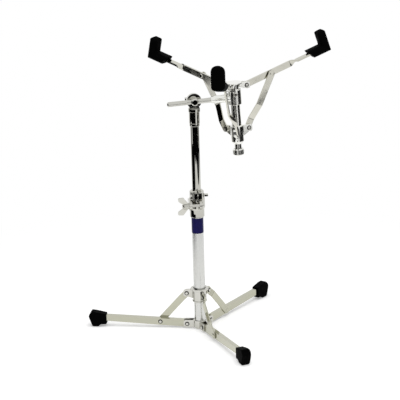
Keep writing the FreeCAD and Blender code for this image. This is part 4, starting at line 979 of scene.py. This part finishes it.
def photo_camera(studio):
    """Camera at the photograph's viewing angle."""
    data = bpy.data.cameras.new("photo camera")
    data.lens = studio.lens
    data.sensor_width = SENSOR_WIDTH
    data.shift_x = studio.shift_x
    data.shift_y = studio.shift_y
    data.clip_end = SIGHT
    camera = bpy.data.objects.new("photo camera", data)
    sight = (Vector(studio.target) - Vector(studio.eye)).to_track_quat("-Z", "Y").to_matrix()
    tilt = sight @ Matrix.Rotation(-studio.roll, 3, "Z")
    camera.matrix_world = Matrix.Translation(studio.eye) @ tilt.to_4x4()
    bpy.context.scene.collection.objects.link(camera)
    bpy.context.scene.camera = camera


class STAND_OT_studio(bpy.types.Operator):
    """Set the floor, light and camera"""

    bl_idname = "stand.studio"
    bl_label = "Set studio"

    def execute(self, context):
        studio = context.scene.stand_studio
        context.scene.view_settings.view_transform = "Standard"
        white_world(studio.ambient)
        reach = studio.floor_reach
        corners = [(-reach, -reach, 0), (reach, -reach, 0), (reach, reach, 0), (-reach, reach, 0)]
        stage_piece("floor", corners, [(0, 1, 2, 3)], pale_floor(studio))
        dark = dark_room()
        for sector in DARK_SECTORS:
            dark_sector(*sector, dark)
        soft_lamp("top lamp", studio.top_place, studio.target, studio.top_size, studio.top_power)
        soft_lamp("side lamp", studio.side_place, studio.target, studio.side_size, studio.side_power)
        photo_camera(studio)
        return {"FINISHED"}


class STAND_PT_panel(bpy.types.Panel):
    """Panel of the stand's dressing steps"""

    bl_idname = "STAND_PT_panel"
    bl_label = "Snare Drum Stand"
    bl_space_type = "VIEW_3D"
    bl_region_type = "UI"
    bl_category = "Drum Stand"

    def draw(self, context):
        for step in STEPS:
            self.layout.operator(step.bl_idname)
        for group, kind in GROUPS.items():
            box = self.layout.box()
            for name in kind.__annotations__:
                box.prop(getattr(context.scene, group), name)


STEPS = (
    STAND_OT_tubes,
    STAND_OT_castings,
    STAND_OT_straps,
    STAND_OT_rubber,
    STAND_OT_fasteners,
    STAND_OT_knob,
    STAND_OT_label,
    STAND_OT_studio,
)
GROUPS = {"stand_sizes": StandSizes, "stand_finishes": StandFinishes, "stand_studio": StudioSettings}
CLASSES = (*GROUPS.values(), *STEPS, STAND_PT_panel)


def register():
    for kind in CLASSES:
        bpy.utils.register_class(kind)
    for name, group in GROUPS.items():
        setattr(bpy.types.Scene, name, bpy.props.PointerProperty(type=group))


def unregister():
    for name in GROUPS:
        delattr(bpy.types.Scene, name)
    for kind in reversed(CLASSES):
        bpy.utils.unregister_class(kind)


def main():
    register()
    for step in STEPS:
        family, name = step.bl_idname.split(".")
        getattr(getattr(bpy.ops, family), name)()


if __name__ == "__main__":
    main()
